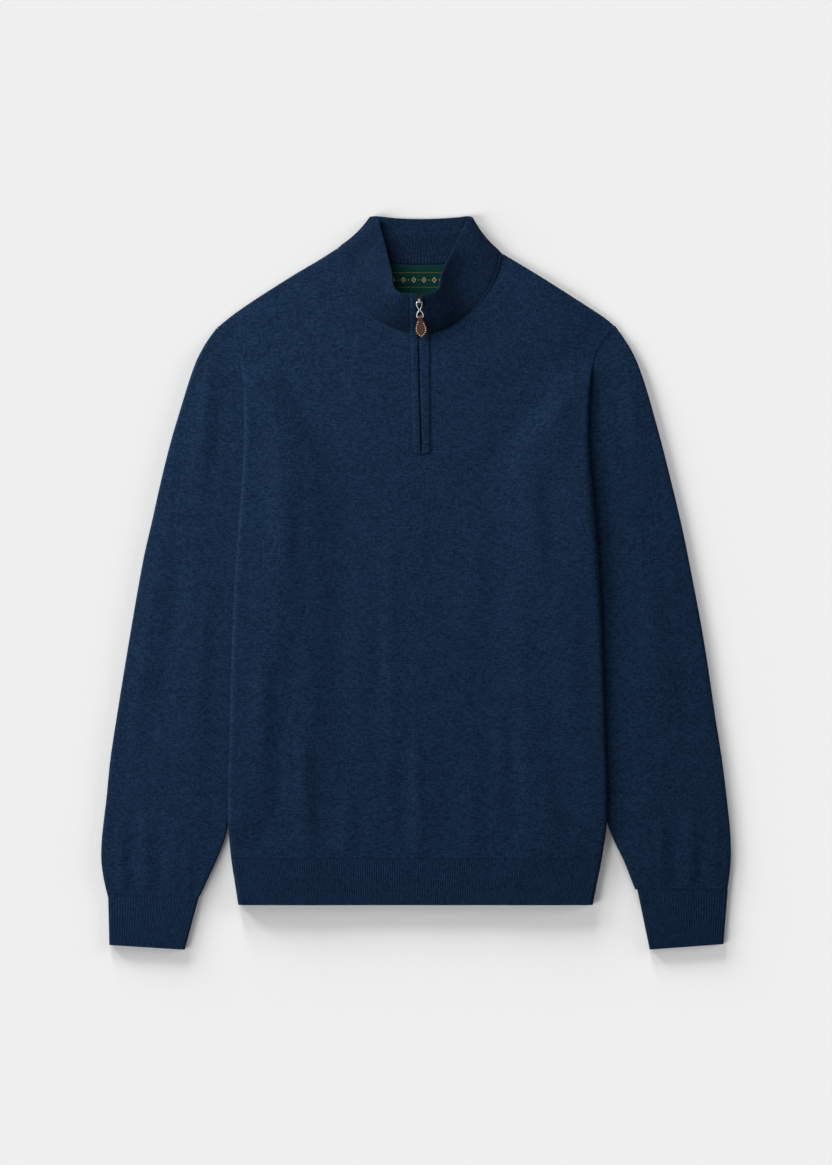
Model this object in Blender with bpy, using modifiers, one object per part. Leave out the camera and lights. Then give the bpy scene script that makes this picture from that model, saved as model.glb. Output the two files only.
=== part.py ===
"""A quarter zip sweater in fine knit, laid out flat with its front up.

Built in metres from sizes given in millimetres. The neck points to +Y, the hem to -Y,
and the cloth rests on Z = 0. The sides of the body are folded in behind it, over the
inner edges of the sleeves.
"""

import math

import bmesh
import bpy
from mathutils import Matrix, Vector

MM = 0.001

# Cloth, in millimetres
WALL = 1.4              # one layer of the knit
AIR = 0.4               # air between layers that lie on each other
LAYER = WALL + AIR
SEAM = 0.3              # gap between pieces that are sewn together
BODY_LOFT = 1.9         # how far the front lifts off the back in its middle
SLEEVE_LOFT = 2.2
COLLAR_WALL = 2.4       # the collar is two layers, folded at its top edge

# Heights across the garment, along Y
SHOULDER_TIP = 273.4
UNDERARM_START = 208.0  # where the side starts to fold in and the sleeve goes below
SLOT_END = 138.6        # bottom of the zip opening
HEM_SEAM = -294.7
HEM_END = -344.5
CUFF_SEAM = {"left": -335.4, "right": -328.0}

# Edge of the body as it lies, measured out from X = 0
BODY = (
    # y,     left,  right
    (273.4, 211.4, 212.7),
    (259.5, 199.6, 201.7),
    (242.4, 189.9, 192.1),
    (225.0, 185.7, 188.3),
    (208.0, 183.8, 186.0),
    (150.0, 183.8, 184.6),
    (93.0, 186.9, 188.9),
    (24.0, 192.1, 194.5),
    (-60.0, 196.3, 198.6),
    (-150.0, 198.6, 201.6),
    (-252.0, 200.6, 203.8),
    (-295.0, 196.5, 200.6),
    (-318.0, 193.1, 194.2),
    (-345.0, 188.8, 188.9),
)

# Depth of the side that is folded in behind the body
SIDE_FOLD = (
    # y,    depth
    (205.0, 6.0),
    (190.0, 16.0),
    (150.0, 46.0),
    (105.0, 70.0),
    (-295.0, 70.0),
    (-345.0, 66.0),
)

# Inner and outer edge of the sleeves, measured out from X = 0
SLEEVE = (
    # y,     left in, left out, right in, right out
    (208.0, 181.5, 245.0, 183.5, 246.0),
    (195.0, 175.0, 248.9, 177.0, 249.9),
    (152.5, 150.0, 261.6, 151.0, 261.6),
    (110.0, 139.0, 272.3, 140.0, 272.3),
    (67.0, 139.0, 281.9, 141.0, 282.6),
    (24.0, 147.0, 291.6, 149.0, 291.6),
    (-61.5, 168.0, 306.6, 171.0, 307.6),
    (-147.0, 184.4, 320.5, 187.0, 320.5),
    (-190.0, 191.0, 326.9, 194.0, 327.2),
    (-232.7, 197.0, 331.2, 200.5, 332.4),
    (-256.0, 200.6, 334.0, 204.6, 335.0),
    (-275.5, 204.9, 336.0, 211.6, 336.3),
    (-297.0, 213.5, 336.5, 222.0, 336.5),
    (-318.3, 223.1, 333.6, 230.4, 334.4),
    (-336.0, 231.3, 329.4, 237.5, 331.6),
)

# Outer edge of the sleeve head, from the shoulder tip to the first row of SLEEVE
SLEEVE_HEAD = (
    # y,    left,  right
    (271.0, 213.6, 214.9),
    (268.0, 216.2, 217.4),
    (261.6, 220.9, 221.9),
    (255.2, 225.1, 225.9),
    (248.8, 228.8, 229.9),
    (242.4, 232.2, 233.2),
    (235.9, 235.2, 236.2),
    (222.0, 240.4, 241.4),
    (208.0, 245.0, 246.0),
)

# Cuffs: the corners of each, out from X = 0 and along Y
CUFF = {
    "left": {"top": (232.0, 329.2, -335.7, -335.7), "end": (247.2, 328.0, -392.5, -387.4)},
    "right": {"top": (236.6, 333.4, -328.3, -328.3), "end": (249.8, 328.8, -392.3, -386.5)},
}

# The front's columns: where each crosses the chest at UNDERARM_START, and where it ends
# on the neckline
NECK_COLUMNS = {
    "left": (
        # chest, end x, end y
        (5.0, 7.0, 266.0),
        (20.0, 24.6, 270.4),
        (36.0, 42.6, 280.0),
        (52.0, 58.4, 293.4),
        (67.0, 72.6, 315.6),
        (82.0, 80.6, 341.6),
    ),
    "right": (
        (14.3, 14.2, 264.0),
        (28.0, 31.8, 268.8),
        (43.0, 49.0, 279.2),
        (58.0, 64.2, 292.4),
        (73.0, 79.4, 313.4),
        (88.0, 90.2, 335.4),
    ),
}

# Silhouette of the shoulders, from the neck to the armhole, x measured out from X = 0
SHOULDER = (
    # left x, y,   right x, y
    (84.4, 357.0, 93.2, 351.2),
    (104.0, 344.6, 108.0, 342.4),
    (128.0, 330.4, 130.0, 329.1),
    (152.0, 315.5, 152.0, 315.3),
    (172.0, 302.6, 172.0, 302.5),
    (190.0, 290.4, 190.0, 291.0),
    (202.0, 281.4, 203.0, 282.2),
    (211.4, 273.4, 212.7, 273.9),
)
SHOULDER_COLUMNS = 8

# The collar, from its left front end round the back to its right front end. Each row
# runs from the neck seam up to the top edge. Half way up it bulges out of the cloth, and
# its side is tucked in.
COLLAR = (
    # seam x, y,    z,    edge x, y,    z,   bulge, tuck
    (-7.4, 267.0, 5.0, -7.4, 306.0, 30.0, 2.0, 0.0),
    (-24.0, 271.6, 5.0, -17.2, 307.6, 29.0, 2.4, 0.0),
    (-39.6, 279.4, 5.0, -24.2, 314.2, 26.0, 2.8, 0.0),
    (-54.2, 291.2, 5.1, -27.2, 325.6, 21.5, 3.0, 0.0),
    (-66.2, 306.0, 5.2, -28.4, 338.0, 17.5, 2.8, 0.0),
    (-74.2, 325.0, 5.4, -31.0, 354.0, 13.5, 2.2, 0.4),
    (-78.8, 341.5, 5.8, -35.9, 371.8, 10.0, 1.2, 1.2),
    (-80.2, 352.6, 6.2, -43.0, 385.8, 7.2, 0.4, 2.4),
    (-83.0, 357.2, 3.7, -47.6, 391.0, 4.2, 0.0, 2.6),
    (-79.2, 357.6, 1.2, -43.0, 392.0, 1.2, 0.0, 2.4),
    (-66.0, 351.4, 1.2, -34.6, 391.2, 1.2, 0.0, 1.2),
    (-44.0, 345.2, 1.2, -22.6, 389.8, 1.2, 0.0, 0.4),
    (-20.0, 341.8, 1.2, -8.0, 389.0, 1.2, 0.0, 0.0),
    (5.0, 340.8, 1.2, 5.0, 388.8, 1.2, 0.0, 0.0),
    (30.0, 341.6, 1.2, 19.0, 389.0, 1.2, 0.0, 0.0),
    (54.0, 344.6, 1.2, 34.0, 389.8, 1.2, 0.0, 0.0),
    (75.0, 348.8, 1.2, 46.0, 390.8, 1.2, 0.0, 0.0),
    (87.6, 351.6, 1.2, 54.6, 392.0, 1.2, 0.0, -0.6),
    (91.6, 351.2, 3.7, 59.2, 391.0, 4.2, 0.0, -0.8),
    (89.8, 346.4, 6.2, 55.0, 385.8, 7.2, 0.4, -0.6),
    (88.4, 338.0, 5.8, 46.2, 370.4, 10.0, 0.6, 0.0),
    (83.4, 323.6, 5.4, 38.4, 353.4, 13.5, -0.8, 0.0),
    (73.4, 306.6, 5.2, 30.8, 338.4, 17.0, -2.2, 0.0),
    (61.8, 292.0, 5.1, 26.2, 324.6, 21.0, -1.6, 0.0),
    (48.6, 281.0, 5.0, 24.2, 313.6, 25.5, 0.8, 0.0),
    (32.6, 271.4, 5.0, 19.2, 308.4, 29.0, 2.2, 0.0),
    (14.0, 265.4, 5.0, 14.0, 306.4, 30.0, 2.0, 0.0),
)
COLLAR_ROWS = (0.0, 0.5, 1.0)
RIB_HEIGHT = 0.35
COLLAR_RIB = 2.8
HEM_RIB = 2.5
CUFF_RIB = 3.0

# The zip's line, from the top of the collar to the bottom of the opening, and the cut
# edges of the cloth on each side of it
ZIP_LINE = (
    # y,    zip x, left x, right x
    (306.0, 3.4, -7.0, 13.7),
    (267.0, 2.6, -7.0, 14.0),
    (138.6, 5.9, -4.4, 14.4),
)
CHAIN_HALF = 1.3        # half the width of the closed chain
TAPE = (-0.9, -0.1)     # bottom and top of the tape, from the middle of the cloth
CHAIN_TOP = 0.9
BAND = (0.2, 1.8)       # bottom and top of the bands beside the chain
BAND_EDGE = (0.9, 0.5)  # their bevel, across and down
SLIDER_AT = 300.4       # the slider's middle, along Y
SLIDER_THICK = 2.2
SLIDER_LENGTH = 11.0
BAR_DOWN = 1.3          # from the slider's middle down to the bar of the link
BAR_UP = 1.25           # from the slider's top up to the bar
BAR_HOLE = 1.05         # radius of the hole round the bar
BRIDGE = (2.4, 7.4, 3.0)    # width, length, height
PULL_TILT = math.radians(30.0)
PULL_TURN = math.radians(4.5)
LINK_WIRE = 0.65        # radius of the wire
LINK_HALF = (
    # x,   down from the bar
    (3.1, 0.0),
    (3.6, 0.7),
    (3.6, 3.4),
    (2.7, 6.2),
    (1.5, 8.4),
    (1.5, 9.4),
    (2.9, 11.2),
    (3.7, 13.6),
    (3.7, 16.8),
    (3.2, 17.5),
)
LEATHER = (
    # down from the link's lower bar, half width, thickness
    (-1.9, 1.9, 2.0),
    (-1.0, 2.4, 3.0),
    (1.0, 2.4, 3.0),
    (2.8, 2.6, 2.5),
    (5.0, 3.7, 2.2),
    (9.0, 5.0, 2.1),
    (14.0, 6.0, 2.1),
    (18.5, 6.1, 2.1),
    (21.0, 5.0, 2.1),
    (22.6, 3.0, 2.0),
    (23.2, 1.2, 1.8),
)
LEATHER_HOLE = 0.95

LABEL = (-27.0, 33.0, 307.5, 339.5, 0.8)  # left, right, bottom, top, thickness

# Main folds of the body front: a ridge is positive, a trough negative
FOLDS = (
    # x,      top y,  bottom y, half width, height
    (-132.0, 140.0, -10.0, 17.0, -0.9),
    (-157.0, -60.0, -262.0, 15.0, -0.8),
    (-112.0, -150.0, -292.0, 12.0, -0.8),
    (-66.0, -225.0, -294.0, 10.0, -0.7),
    (-6.0, -170.0, -292.0, 11.0, -1.0),
    (48.0, -200.0, -294.0, 15.0, -0.9),
    (98.0, -110.0, -292.0, 13.0, -0.8),
    (-30.0, 60.0, -270.0, 10.0, 0.6),
)

SIDE_SIGN = {"left": -1.0, "right": 1.0}


# ---- reading tables and shaping ---------------------------------------------------

def smooth(value):
    """Soft step from 0 to 1."""
    value = min(max(value, 0.0), 1.0)
    return value * value * (3.0 - 2.0 * value)


def mix(start, end, amount):
    return start + (end - start) * amount


def along(table, place, column):
    """A column of a table at a place in its first column, on a curve through the rows."""
    rows = table if table[0][0] > table[-1][0] else tuple(reversed(table))
    if place >= rows[0][0]:
        return rows[0][column]
    if place <= rows[-1][0]:
        return rows[-1][column]
    index = next(i for i in range(len(rows) - 1) if rows[i + 1][0] <= place)

    def slope(i):
        before, after = max(i - 1, 0), min(i + 1, len(rows) - 1)
        return (rows[after][column] - rows[before][column]) / (rows[after][0] - rows[before][0])

    first, second = rows[index], rows[index + 1]
    span = second[0] - first[0]
    t = (place - first[0]) / span
    return ((2 * t ** 3 - 3 * t ** 2 + 1) * first[column]
            + (t ** 3 - 2 * t ** 2 + t) * span * slope(index)
            + (3 * t ** 2 - 2 * t ** 3) * second[column]
            + (t ** 3 - t ** 2) * span * slope(index + 1))


def body_edge(side, y):
    return along(BODY, y, 1 if side == "left" else 2)


def side_fold(y):
    return along(SIDE_FOLD, y, 1)


def sleeve_inner(side, y):
    if y >= UNDERARM_START:
        return body_edge(side, y) + SEAM
    return along(SLEEVE, y, 1 if side == "left" else 3)


def sleeve_outer(side, y):
    if y >= UNDERARM_START:
        return along(SLEEVE_HEAD, y, 1 if side == "left" else 2)
    return along(SLEEVE, y, 2 if side == "left" else 4)


def side_of(x):
    return "left" if x < 0.0 else "right"


RAMP = 40.0             # length over which a layer climbs onto what lies below it
CLEAR = 8.0             # how far before that edge it is all the way up


def below_armhole(y):
    """0 where the side is sewn to the sleeve head, 1 where it lies over the sleeve."""
    return smooth((UNDERARM_START + 32.0 - y) / 30.0)


def lift(x, y):
    """Height of the body's lowest layer, which climbs over the sleeve."""
    side = side_of(x)
    climb = smooth((abs(x) - sleeve_inner(side, y) + CLEAR + RAMP) / RAMP)
    return 2.0 * LAYER * climb * below_armhole(y) * smooth((y - HEM_SEAM) / 40.0)


def fold_lift(x, y):
    """How far the back and front climb over the folded side."""
    side = side_of(x)
    fold_start = body_edge(side, y) - side_fold(y)
    climb = smooth((abs(x) - fold_start + CLEAR + RAMP) / RAMP)
    return 2.0 * LAYER * climb * below_armhole(y)


def back_height(x, y):
    """Middle of the back's wall, where it lies on top."""
    return lift(x, y) + fold_lift(x, y) + WALL / 2.0


def fold_shape(x, y):
    """The main creases of the front."""
    height = 0.0
    for place, top, bottom, width, depth in FOLDS:
        across = math.exp(-((x - place) / width) ** 2)
        ends = smooth((top - y) / 40.0) * smooth((y - bottom) / 25.0)
        height += depth * across * ends
    return height


def front_height(x, y):
    """Middle of the front's wall, where it lies on top."""
    inward = body_edge(side_of(x), y) - abs(x)
    loft = BODY_LOFT * smooth((inward - 8.0) / 45.0) * mix(0.35, 1.0, smooth((y - HEM_END) / 80.0))
    return back_height(x, y) + LAYER + loft + fold_shape(x, y) * smooth((inward - 20.0) / 25.0)


# ---- making objects ---------------------------------------------------------------

def new_collection(name):
    collection = bpy.data.collections.new(name)
    bpy.context.scene.collection.children.link(collection)
    return collection


def paint(name, colour, roughness, metallic=0.0):
    """A plain Principled material."""
    material = bpy.data.materials.new(name)
    material.use_nodes = True
    shader = material.node_tree.nodes["Principled BSDF"]
    shader.inputs["Base Color"].default_value = (*colour, 1.0)
    shader.inputs["Roughness"].default_value = roughness
    shader.inputs["Metallic"].default_value = metallic
    material.diffuse_color = (*colour, 1.0)
    return material


def add_object(name, work, material, smooth_angle=40.0):
    """Puts a bmesh, in millimetres, into the sweater's collection."""
    bmesh.ops.scale(work, vec=(MM, MM, MM), verts=work.verts)
    mesh = bpy.data.meshes.new(name)
    work.to_mesh(mesh)
    work.free()
    mesh.materials.append(material)
    mesh.shade_smooth()
    mesh.set_sharp_from_angle(angle=math.radians(smooth_angle))
    made = bpy.data.objects.new(name, mesh)
    sweater.objects.link(made)
    return made


def cells(rows):
    """Index quads of a grid whose four corners all exist."""
    for j in range(len(rows) - 1):
        for i in range(len(rows[0]) - 1):
            corners = ((j, i), (j, i + 1), (j + 1, i + 1), (j + 1, i))
            if all(rows[a][b] is not None for a, b in corners):
                yield corners


def cloth(name, rows, material):
    """A plain cloth wall, its middle surface on a grid of points. None leaves cloth out."""
    work = bmesh.new()
    made = {}
    for corners in cells(rows):
        for corner in corners:
            if corner not in made:
                made[corner] = work.verts.new(rows[corner[0]][corner[1]])
        work.faces.new([made[corner] for corner in corners])
    bmesh.ops.recalc_face_normals(work, faces=work.faces)
    panel = add_object(name, work, material)
    wall = panel.modifiers.new("wall", "SOLIDIFY")
    wall.thickness = WALL * MM
    wall.offset = 0.0
    wall.use_even_offset = True
    return panel


def ribbed(name, outer, inner, material, closed=False):
    """A wall between two grids of points: the outer one has the ribs."""
    work = bmesh.new()
    count = len(outer[0])
    skins = [[[work.verts.new(point) for point in row] for row in grid] for grid in (outer, inner)]
    spans = range(count) if closed else range(count - 1)
    last = len(outer) - 1
    for j in range(last):
        for i in spans:
            k = (i + 1) % count
            for skin, order in ((skins[0], 1), (skins[1], -1)):
                work.faces.new([skin[j][i], skin[j][k], skin[j + 1][k], skin[j + 1][i]][::order])
    for j in (0, last):
        for i in spans:
            k = (i + 1) % count
            work.faces.new([skins[0][j][i], skins[0][j][k], skins[1][j][k], skins[1][j][i]])
    if not closed:
        for i in (0, count - 1):
            for j in range(last):
                work.faces.new([skins[0][j][i], skins[0][j + 1][i], skins[1][j + 1][i], skins[1][j][i]])
    bmesh.ops.recalc_face_normals(work, faces=work.faces)
    return add_object(name, work, material, smooth_angle=60.0)


def loft(name, rings, material, smooth_angle=40.0):
    """A solid through closed rings of points, with flat ends."""
    work = bmesh.new()
    made = [[work.verts.new(point) for point in ring] for ring in rings]
    count = len(rings[0])
    for first, second in zip(made, made[1:]):
        for i in range(count):
            k = (i + 1) % count
            work.faces.new([first[i], first[k], second[k], second[i]])
    work.faces.new(made[0])
    work.faces.new(list(reversed(made[-1])))
    bmesh.ops.recalc_face_normals(work, faces=work.faces)
    return add_object(name, work, material, smooth_angle)


# ---- the front and back panels ------------------------------------------------------

TURN_STEPS = 3          # facets of a fold
FOLD_COLUMNS = 5        # columns of the side that is folded in
BODY_ROWS = (UNDERARM_START, 198.0, 184.0, 164.0, SLOT_END, 105.0, 60.0, 5.0, -55.0,
             -115.0, -165.0, -210.0, -250.0, -276.0, HEM_SEAM)
YOKE_STEPS = (0.2, 0.42, 0.66, 0.85, 1.0)


def zip_line(y, column):
    return along(ZIP_LINE, y, column)


def slot_edge(side, y):
    """Cut edge of the zip opening, as a distance from X = 0."""
    return SIDE_SIGN[side] * zip_line(y, 2 if side == "left" else 3)


def back_neck(x):
    """The back's neckline, just below the collar's seam."""
    seam = tuple((row[0], row[1]) for row in reversed(COLLAR) if row[2] < WALL)
    return along(seam, x, 1) - 2.0 * SEAM


def shoulder_end(side, share):
    """A point on the shoulder's silhouette, share 0 at the neck and 1 at the armhole."""
    number = 0 if side == "left" else 2
    table = tuple((float(i), *row[number:number + 2]) for i, row in enumerate(SHOULDER))
    place = share * (len(SHOULDER) - 1)
    return Vector((along(table, place, 1), along(table, place, 2)))


def shoulder_out(side, share):
    """Unit direction out of the shoulder, seen from above, on the +X side."""
    step = 0.04
    run = shoulder_end(side, min(share + step, 1.0)) - shoulder_end(side, max(share - step, 0.0))
    return Vector((-run.y, run.x)).normalized()


def chest_columns(side):
    """Chest x of each column of one half, out from the zip."""
    neck = [row[0] for row in NECK_COLUMNS[side]]
    edge = body_edge(side, UNDERARM_START)
    return neck + [mix(neck[-1], edge, i / SHOULDER_COLUMNS)
                   for i in range(1, SHOULDER_COLUMNS)] + [edge]


def yoke_ends(side, back):
    """Where each column of one half ends, and its share of the shoulder, if it ends there."""
    ends = []
    for _, x, y in NECK_COLUMNS[side]:
        ends.append((x, back_neck(SIDE_SIGN[side] * x) if back else y, None))
    for i in range(SHOULDER_COLUMNS):
        share = i / (SHOULDER_COLUMNS - 1)
        ends.append((*shoulder_end(side, share), share))
    return ends


def yoke_column(side, number, back):
    """Points of one column, from the chest up to the neck or over the shoulder."""
    chest = chest_columns(side)[number]
    x_end, y_end, share = yoke_ends(side, back)[number]
    wraps = share is not None
    sign = SIDE_SIGN[side]
    height = back_height if back else front_height
    out = shoulder_out(side, share) if wraps else None
    radius = (front_height(sign * x_end, y_end) - back_height(sign * x_end, y_end)) / 2.0
    if wraps:
        inset = radius + WALL / 2.0 + (3.0 * SEAM if back else 0.0)
        x_end -= out.x * inset
        y_end -= out.y * inset
    edge = body_edge(side, UNDERARM_START)
    seam_run = body_edge(side, SHOULDER_TIP) - edge
    points = []
    for step in YOKE_STEPS:
        y = mix(UNDERARM_START, y_end, step)
        edge_y = mix(UNDERARM_START, SHOULDER_TIP, step)
        shift = (body_edge(side, edge_y) - edge) / seam_run
        x = mix(chest, x_end, mix(step, shift, smooth(2.0 * chest / edge - 1.0)))
        if number == 0:
            x = slot_edge(side, y)
        elif chest == edge:
            x = body_edge(side, y)
        points.append((sign * x, y, height(sign * x, y)))
    if wraps and not back:
        x, y, z = points[-1]
        for i in range(1, TURN_STEPS + 1):
            angle = math.pi / 2.0 - math.pi * i / TURN_STEPS
            reach = radius * math.cos(angle)
            points.append((x + sign * out.x * reach, y + out.y * reach,
                           z - radius + radius * math.sin(angle)))
    return points


def side_turn(side, y, back):
    """Points of one row round the side's fold and in along the folded part."""
    sign = SIDE_SIGN[side]
    edge = body_edge(side, y)
    radius = (0.5 if back else 1.5) * LAYER
    centre_x = edge - WALL / 2.0 - 1.5 * LAYER
    centre_z = lift(sign * (edge - 2.0), y) + WALL / 2.0 + 1.5 * LAYER
    points = []
    for i in range(TURN_STEPS + 1):
        angle = math.pi / 2.0 - math.pi * i / TURN_STEPS
        points.append((sign * (centre_x + radius * math.cos(angle)), y,
                       centre_z + radius * math.sin(angle)))
    fold_start = edge - side_fold(y)
    layer = WALL / 2.0 + 1.5 * LAYER - radius
    for i in range(FOLD_COLUMNS):
        x = mix(centre_x, fold_start, (i + 1) / FOLD_COLUMNS)
        points.append((sign * x, y, layer + lift(sign * x, y)))
    return points


def flat_half(side, y, back):
    """Points of one half row that lie on top, out from the zip to just before the fold."""
    height = back_height if back else front_height
    sign = SIDE_SIGN[side]
    columns = chest_columns(side)
    squeeze = (body_edge(side, y) - WALL / 2.0 - 1.5 * LAYER) / columns[-1]
    slot_x = slot_edge(side, y)
    points = [(sign * slot_x, y, height(sign * slot_x, y))]
    for x in columns[1:-1]:
        x *= mix(1.0, squeeze, smooth(x / 60.0))
        points.append((sign * x, y, height(sign * x, y)))
    return points


def body_grid(back):
    """Rows of a whole panel, from the shoulders down to the hem seam."""
    height = back_height if back else front_height
    turn = TURN_STEPS + FOLD_COLUMNS
    columns = []
    for side in ("left", "right"):
        half = [yoke_column(side, number, back) for number in range(len(chest_columns(side)))]
        columns = list(reversed(half)) if side == "left" else columns + half
    steps = len(YOKE_STEPS) + (0 if back else TURN_STEPS)
    rows = []
    for j in reversed(range(steps)):
        row = [column[j] if j < len(column) else None for column in columns]
        rows.append([None] * turn + row + [None] * turn)
    for y in BODY_ROWS:
        left, right = flat_half("left", y, back), flat_half("right", y, back)
        flat = list(reversed(left)) + right
        if y == UNDERARM_START:
            ends = [(SIDE_SIGN[side] * body_edge(side, y), y) for side in ("left", "right")]
            tips = [(x, y, height(x, y)) for x, y in ends]
            rows.append([None] * turn + [tips[0]] + flat + [tips[1]] + [None] * turn)
        else:
            left, right = side_turn("left", y, back), side_turn("right", y, back)
            rows.append(list(reversed(left)) + flat + right)
    return rows


def front_panel():
    """The front, with a column at its middle that starts below the zip opening."""
    rows = []
    for row in body_grid(back=False):
        half = len(row) // 2
        left, right = row[half - 1], row[half]
        closed = left is not None and left[1] <= SLOT_END
        middle = tuple(mix(a, b, 0.5) for a, b in zip(left, right)) if closed else None
        rows.append(row[:half] + [middle] + row[half:])
    return cloth("front", rows, navy)


def back_panel():
    return cloth("back", body_grid(back=True), navy)


# ---- ribbed hem and cuffs -----------------------------------------------------------

HEM_BACK_STEPS = 56
CUFF_AIR = 0.9          # air between the two layers of a cuff
CUFF_BOTTOM_STEPS = 4

def wall_round(points, outward=1.0):
    """Outer and inner points of a wall whose middle turns in the XZ plane.

    The wall's outside is to the left of the path, or to its right if outward is -1.
    """
    outer, inner = [], []
    for i, point in enumerate(points):
        here = Vector(point)
        run = Vector(points[min(i + 1, len(points) - 1)]) - Vector(points[max(i - 1, 0)])
        run.y = 0.0
        run.normalize()
        half = Vector((-run.z, 0.0, run.x)) * outward * WALL / 2.0
        outer.append(here + half)
        inner.append(here - half)
    return outer, inner


def hem_front():
    """Front hem band: ribs on top, plain where it is folded in."""
    starts = [side_turn(side, HEM_SEAM, back=False)[0][0] for side in ("left", "right")]
    steps = 2 * round((starts[1] - starts[0]) / HEM_RIB)
    outer, inner = [], []
    for y in (HEM_SEAM - SEAM, HEM_END):
        left, right = side_turn("left", y, back=False), side_turn("right", y, back=False)
        top = []
        for i in range(1, steps):
            x = mix(left[0][0], right[0][0], i / steps)
            top.append((x, y, front_height(x, y)))
        path = list(reversed(left)) + top + right
        out, into = wall_round(path)
        for i in range(steps):
            if i % 2:
                out[len(left) - 1 + i].z += RIB_HEIGHT
        outer.append(out)
        inner.append(into)
    return ribbed("hem_front", outer, inner, navy_rib)


def hem_back():
    rows = []
    for y in (HEM_SEAM - SEAM, HEM_END):
        left, right = side_turn("left", y, back=True), side_turn("right", y, back=True)
        top = []
        for i in range(1, HEM_BACK_STEPS):
            x = mix(left[0][0], right[0][0], i / HEM_BACK_STEPS)
            top.append((x, y, back_height(x, y)))
        rows.append(list(reversed(left)) + top + right)
    return cloth("hem_back", rows, navy_rib)


def cuff(side):
    """A flattened ring between its seam and its end, with ribs on top."""
    sign = SIDE_SIGN[side]
    top, end = CUFF[side]["top"], CUFF[side]["end"]
    ribs = round((top[1] - top[0]) / CUFF_RIB)
    outer, inner = [], []
    for share in (0.0, 0.5, 1.0):
        x_in, x_out, y_in, y_out = (mix(a, b, share) for a, b in zip(top, end))
        radius = (LAYER + CUFF_AIR) / 2.0
        inset = radius + WALL / 2.0
        path = []
        for i in range(2 * ribs + 1):
            path.append((mix(x_in + inset, x_out - inset, i / (2 * ribs)), 2.0 * radius))
        for i in range(1, TURN_STEPS):
            angle = math.pi / 2.0 - math.pi * i / TURN_STEPS
            path.append((x_out - inset + radius * math.cos(angle), radius + radius * math.sin(angle)))
        for i in range(CUFF_BOTTOM_STEPS + 1):
            path.append((mix(x_out - inset, x_in + inset, i / CUFF_BOTTOM_STEPS), 0.0))
        for i in range(1, TURN_STEPS):
            angle = -math.pi / 2.0 - math.pi * i / TURN_STEPS
            path.append((x_in + inset + radius * math.cos(angle), radius + radius * math.sin(angle)))
        out, into = [], []
        count = len(path)
        for i, (x, z) in enumerate(path):
            before, after = path[i - 1], path[(i + 1) % count]
            run = Vector((after[0] - before[0], after[1] - before[1])).normalized()
            normal = Vector((-run.y, run.x)) * WALL / 2.0
            rib = RIB_HEIGHT if i % 2 and i < 2 * ribs else 0.0
            for ring, dx, dz in ((out, normal.x, normal.y + rib), (into, -normal.x, -normal.y)):
                y = mix(y_in, y_out, (x - x_in) / (x_out - x_in))
                ring.append((sign * (x + dx), y, z + dz + WALL / 2.0))
        outer.append(out)
        inner.append(into)
    return ribbed("cuff_" + side, outer, inner, navy_rib, closed=True)


# ---- sleeves --------------------------------------------------------------------------

SLEEVE_ROWS = (200.0, 186.0, 165.0, 140.0, 105.0, 60.0, 5.0, -55.0, -115.0, -165.0, -210.0,
               -240.0, -262.0, -282.0, -302.0, -319.0)
TOP_COLUMNS = 7
BOTTOM_COLUMNS = 3
RETURN = 15.0           # how far the inner edge runs on below, to the underarm seam
REST = WALL / 2.0 + 0.03


def sleeve_top(side, x, y):
    """Middle of the sleeve's upper layer, x measured out from X = 0."""
    edge = body_edge(side, y)
    plain = REST + LAYER + SLEEVE_LOFT * smooth((x - edge - 3.0) / 30.0)
    meet = front_height(SIDE_SIGN[side] * edge, y) - WALL / 2.0 - LAYER
    near = smooth((y - UNDERARM_START) / 14.0) * (1.0 - smooth((x - edge) / 28.0))
    return plain + meet * near


def sleeve(side):
    """One piece of cloth round the arm, from the underarm seam out and back over."""
    sign = SIDE_SIGN[side]
    rows = []
    head = [point[1] for point in reversed(yoke_column(side, len(chest_columns(side)) - 1, True))]
    for y in (*head, UNDERARM_START, *SLEEVE_ROWS, CUFF_SEAM[side]):
        x_in, x_out = sleeve_inner(side, y), sleeve_outer(side, y)
        tucked = y < UNDERARM_START
        radius = (sleeve_top(side, x_out - 3.0, y) - REST) / 2.0
        turn_x = x_out - WALL / 2.0 - radius
        radius_in = (sleeve_top(side, x_in + 3.0, y) - REST) / 2.0
        turn_in = x_in + WALL / 2.0 + radius_in if tucked else x_in
        seam_x = turn_in + RETURN if tucked else x_in
        row = []
        for i in range(BOTTOM_COLUMNS):
            row.append((mix(seam_x, turn_x, i / BOTTOM_COLUMNS), REST))
        for i in range(TURN_STEPS + 1):
            angle = -math.pi / 2.0 + math.pi * i / TURN_STEPS
            row.append((turn_x + radius * math.cos(angle),
                        REST + radius + radius * math.sin(angle)))
        for i in range(1, TOP_COLUMNS + 1):
            x = mix(turn_x, turn_in, i / TOP_COLUMNS)
            row.append((x, sleeve_top(side, x, y)))
        if tucked:
            row[-1] = (turn_in, REST + 2.0 * radius_in)
            for i in range(1, TURN_STEPS + 1):
                angle = math.pi / 2.0 + math.pi * i / TURN_STEPS
                row.append((turn_in + radius_in * math.cos(angle),
                            REST + radius_in + radius_in * math.sin(angle)))
            row.append((seam_x - SEAM, REST))
        points = [(sign * x, y, z) for x, z in row]
        points += [None] * (0 if tucked else TURN_STEPS + 1)
        rows.append(points)
    return cloth("sleeve_" + side, rows, navy)


# ---- collar ---------------------------------------------------------------------------

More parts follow.
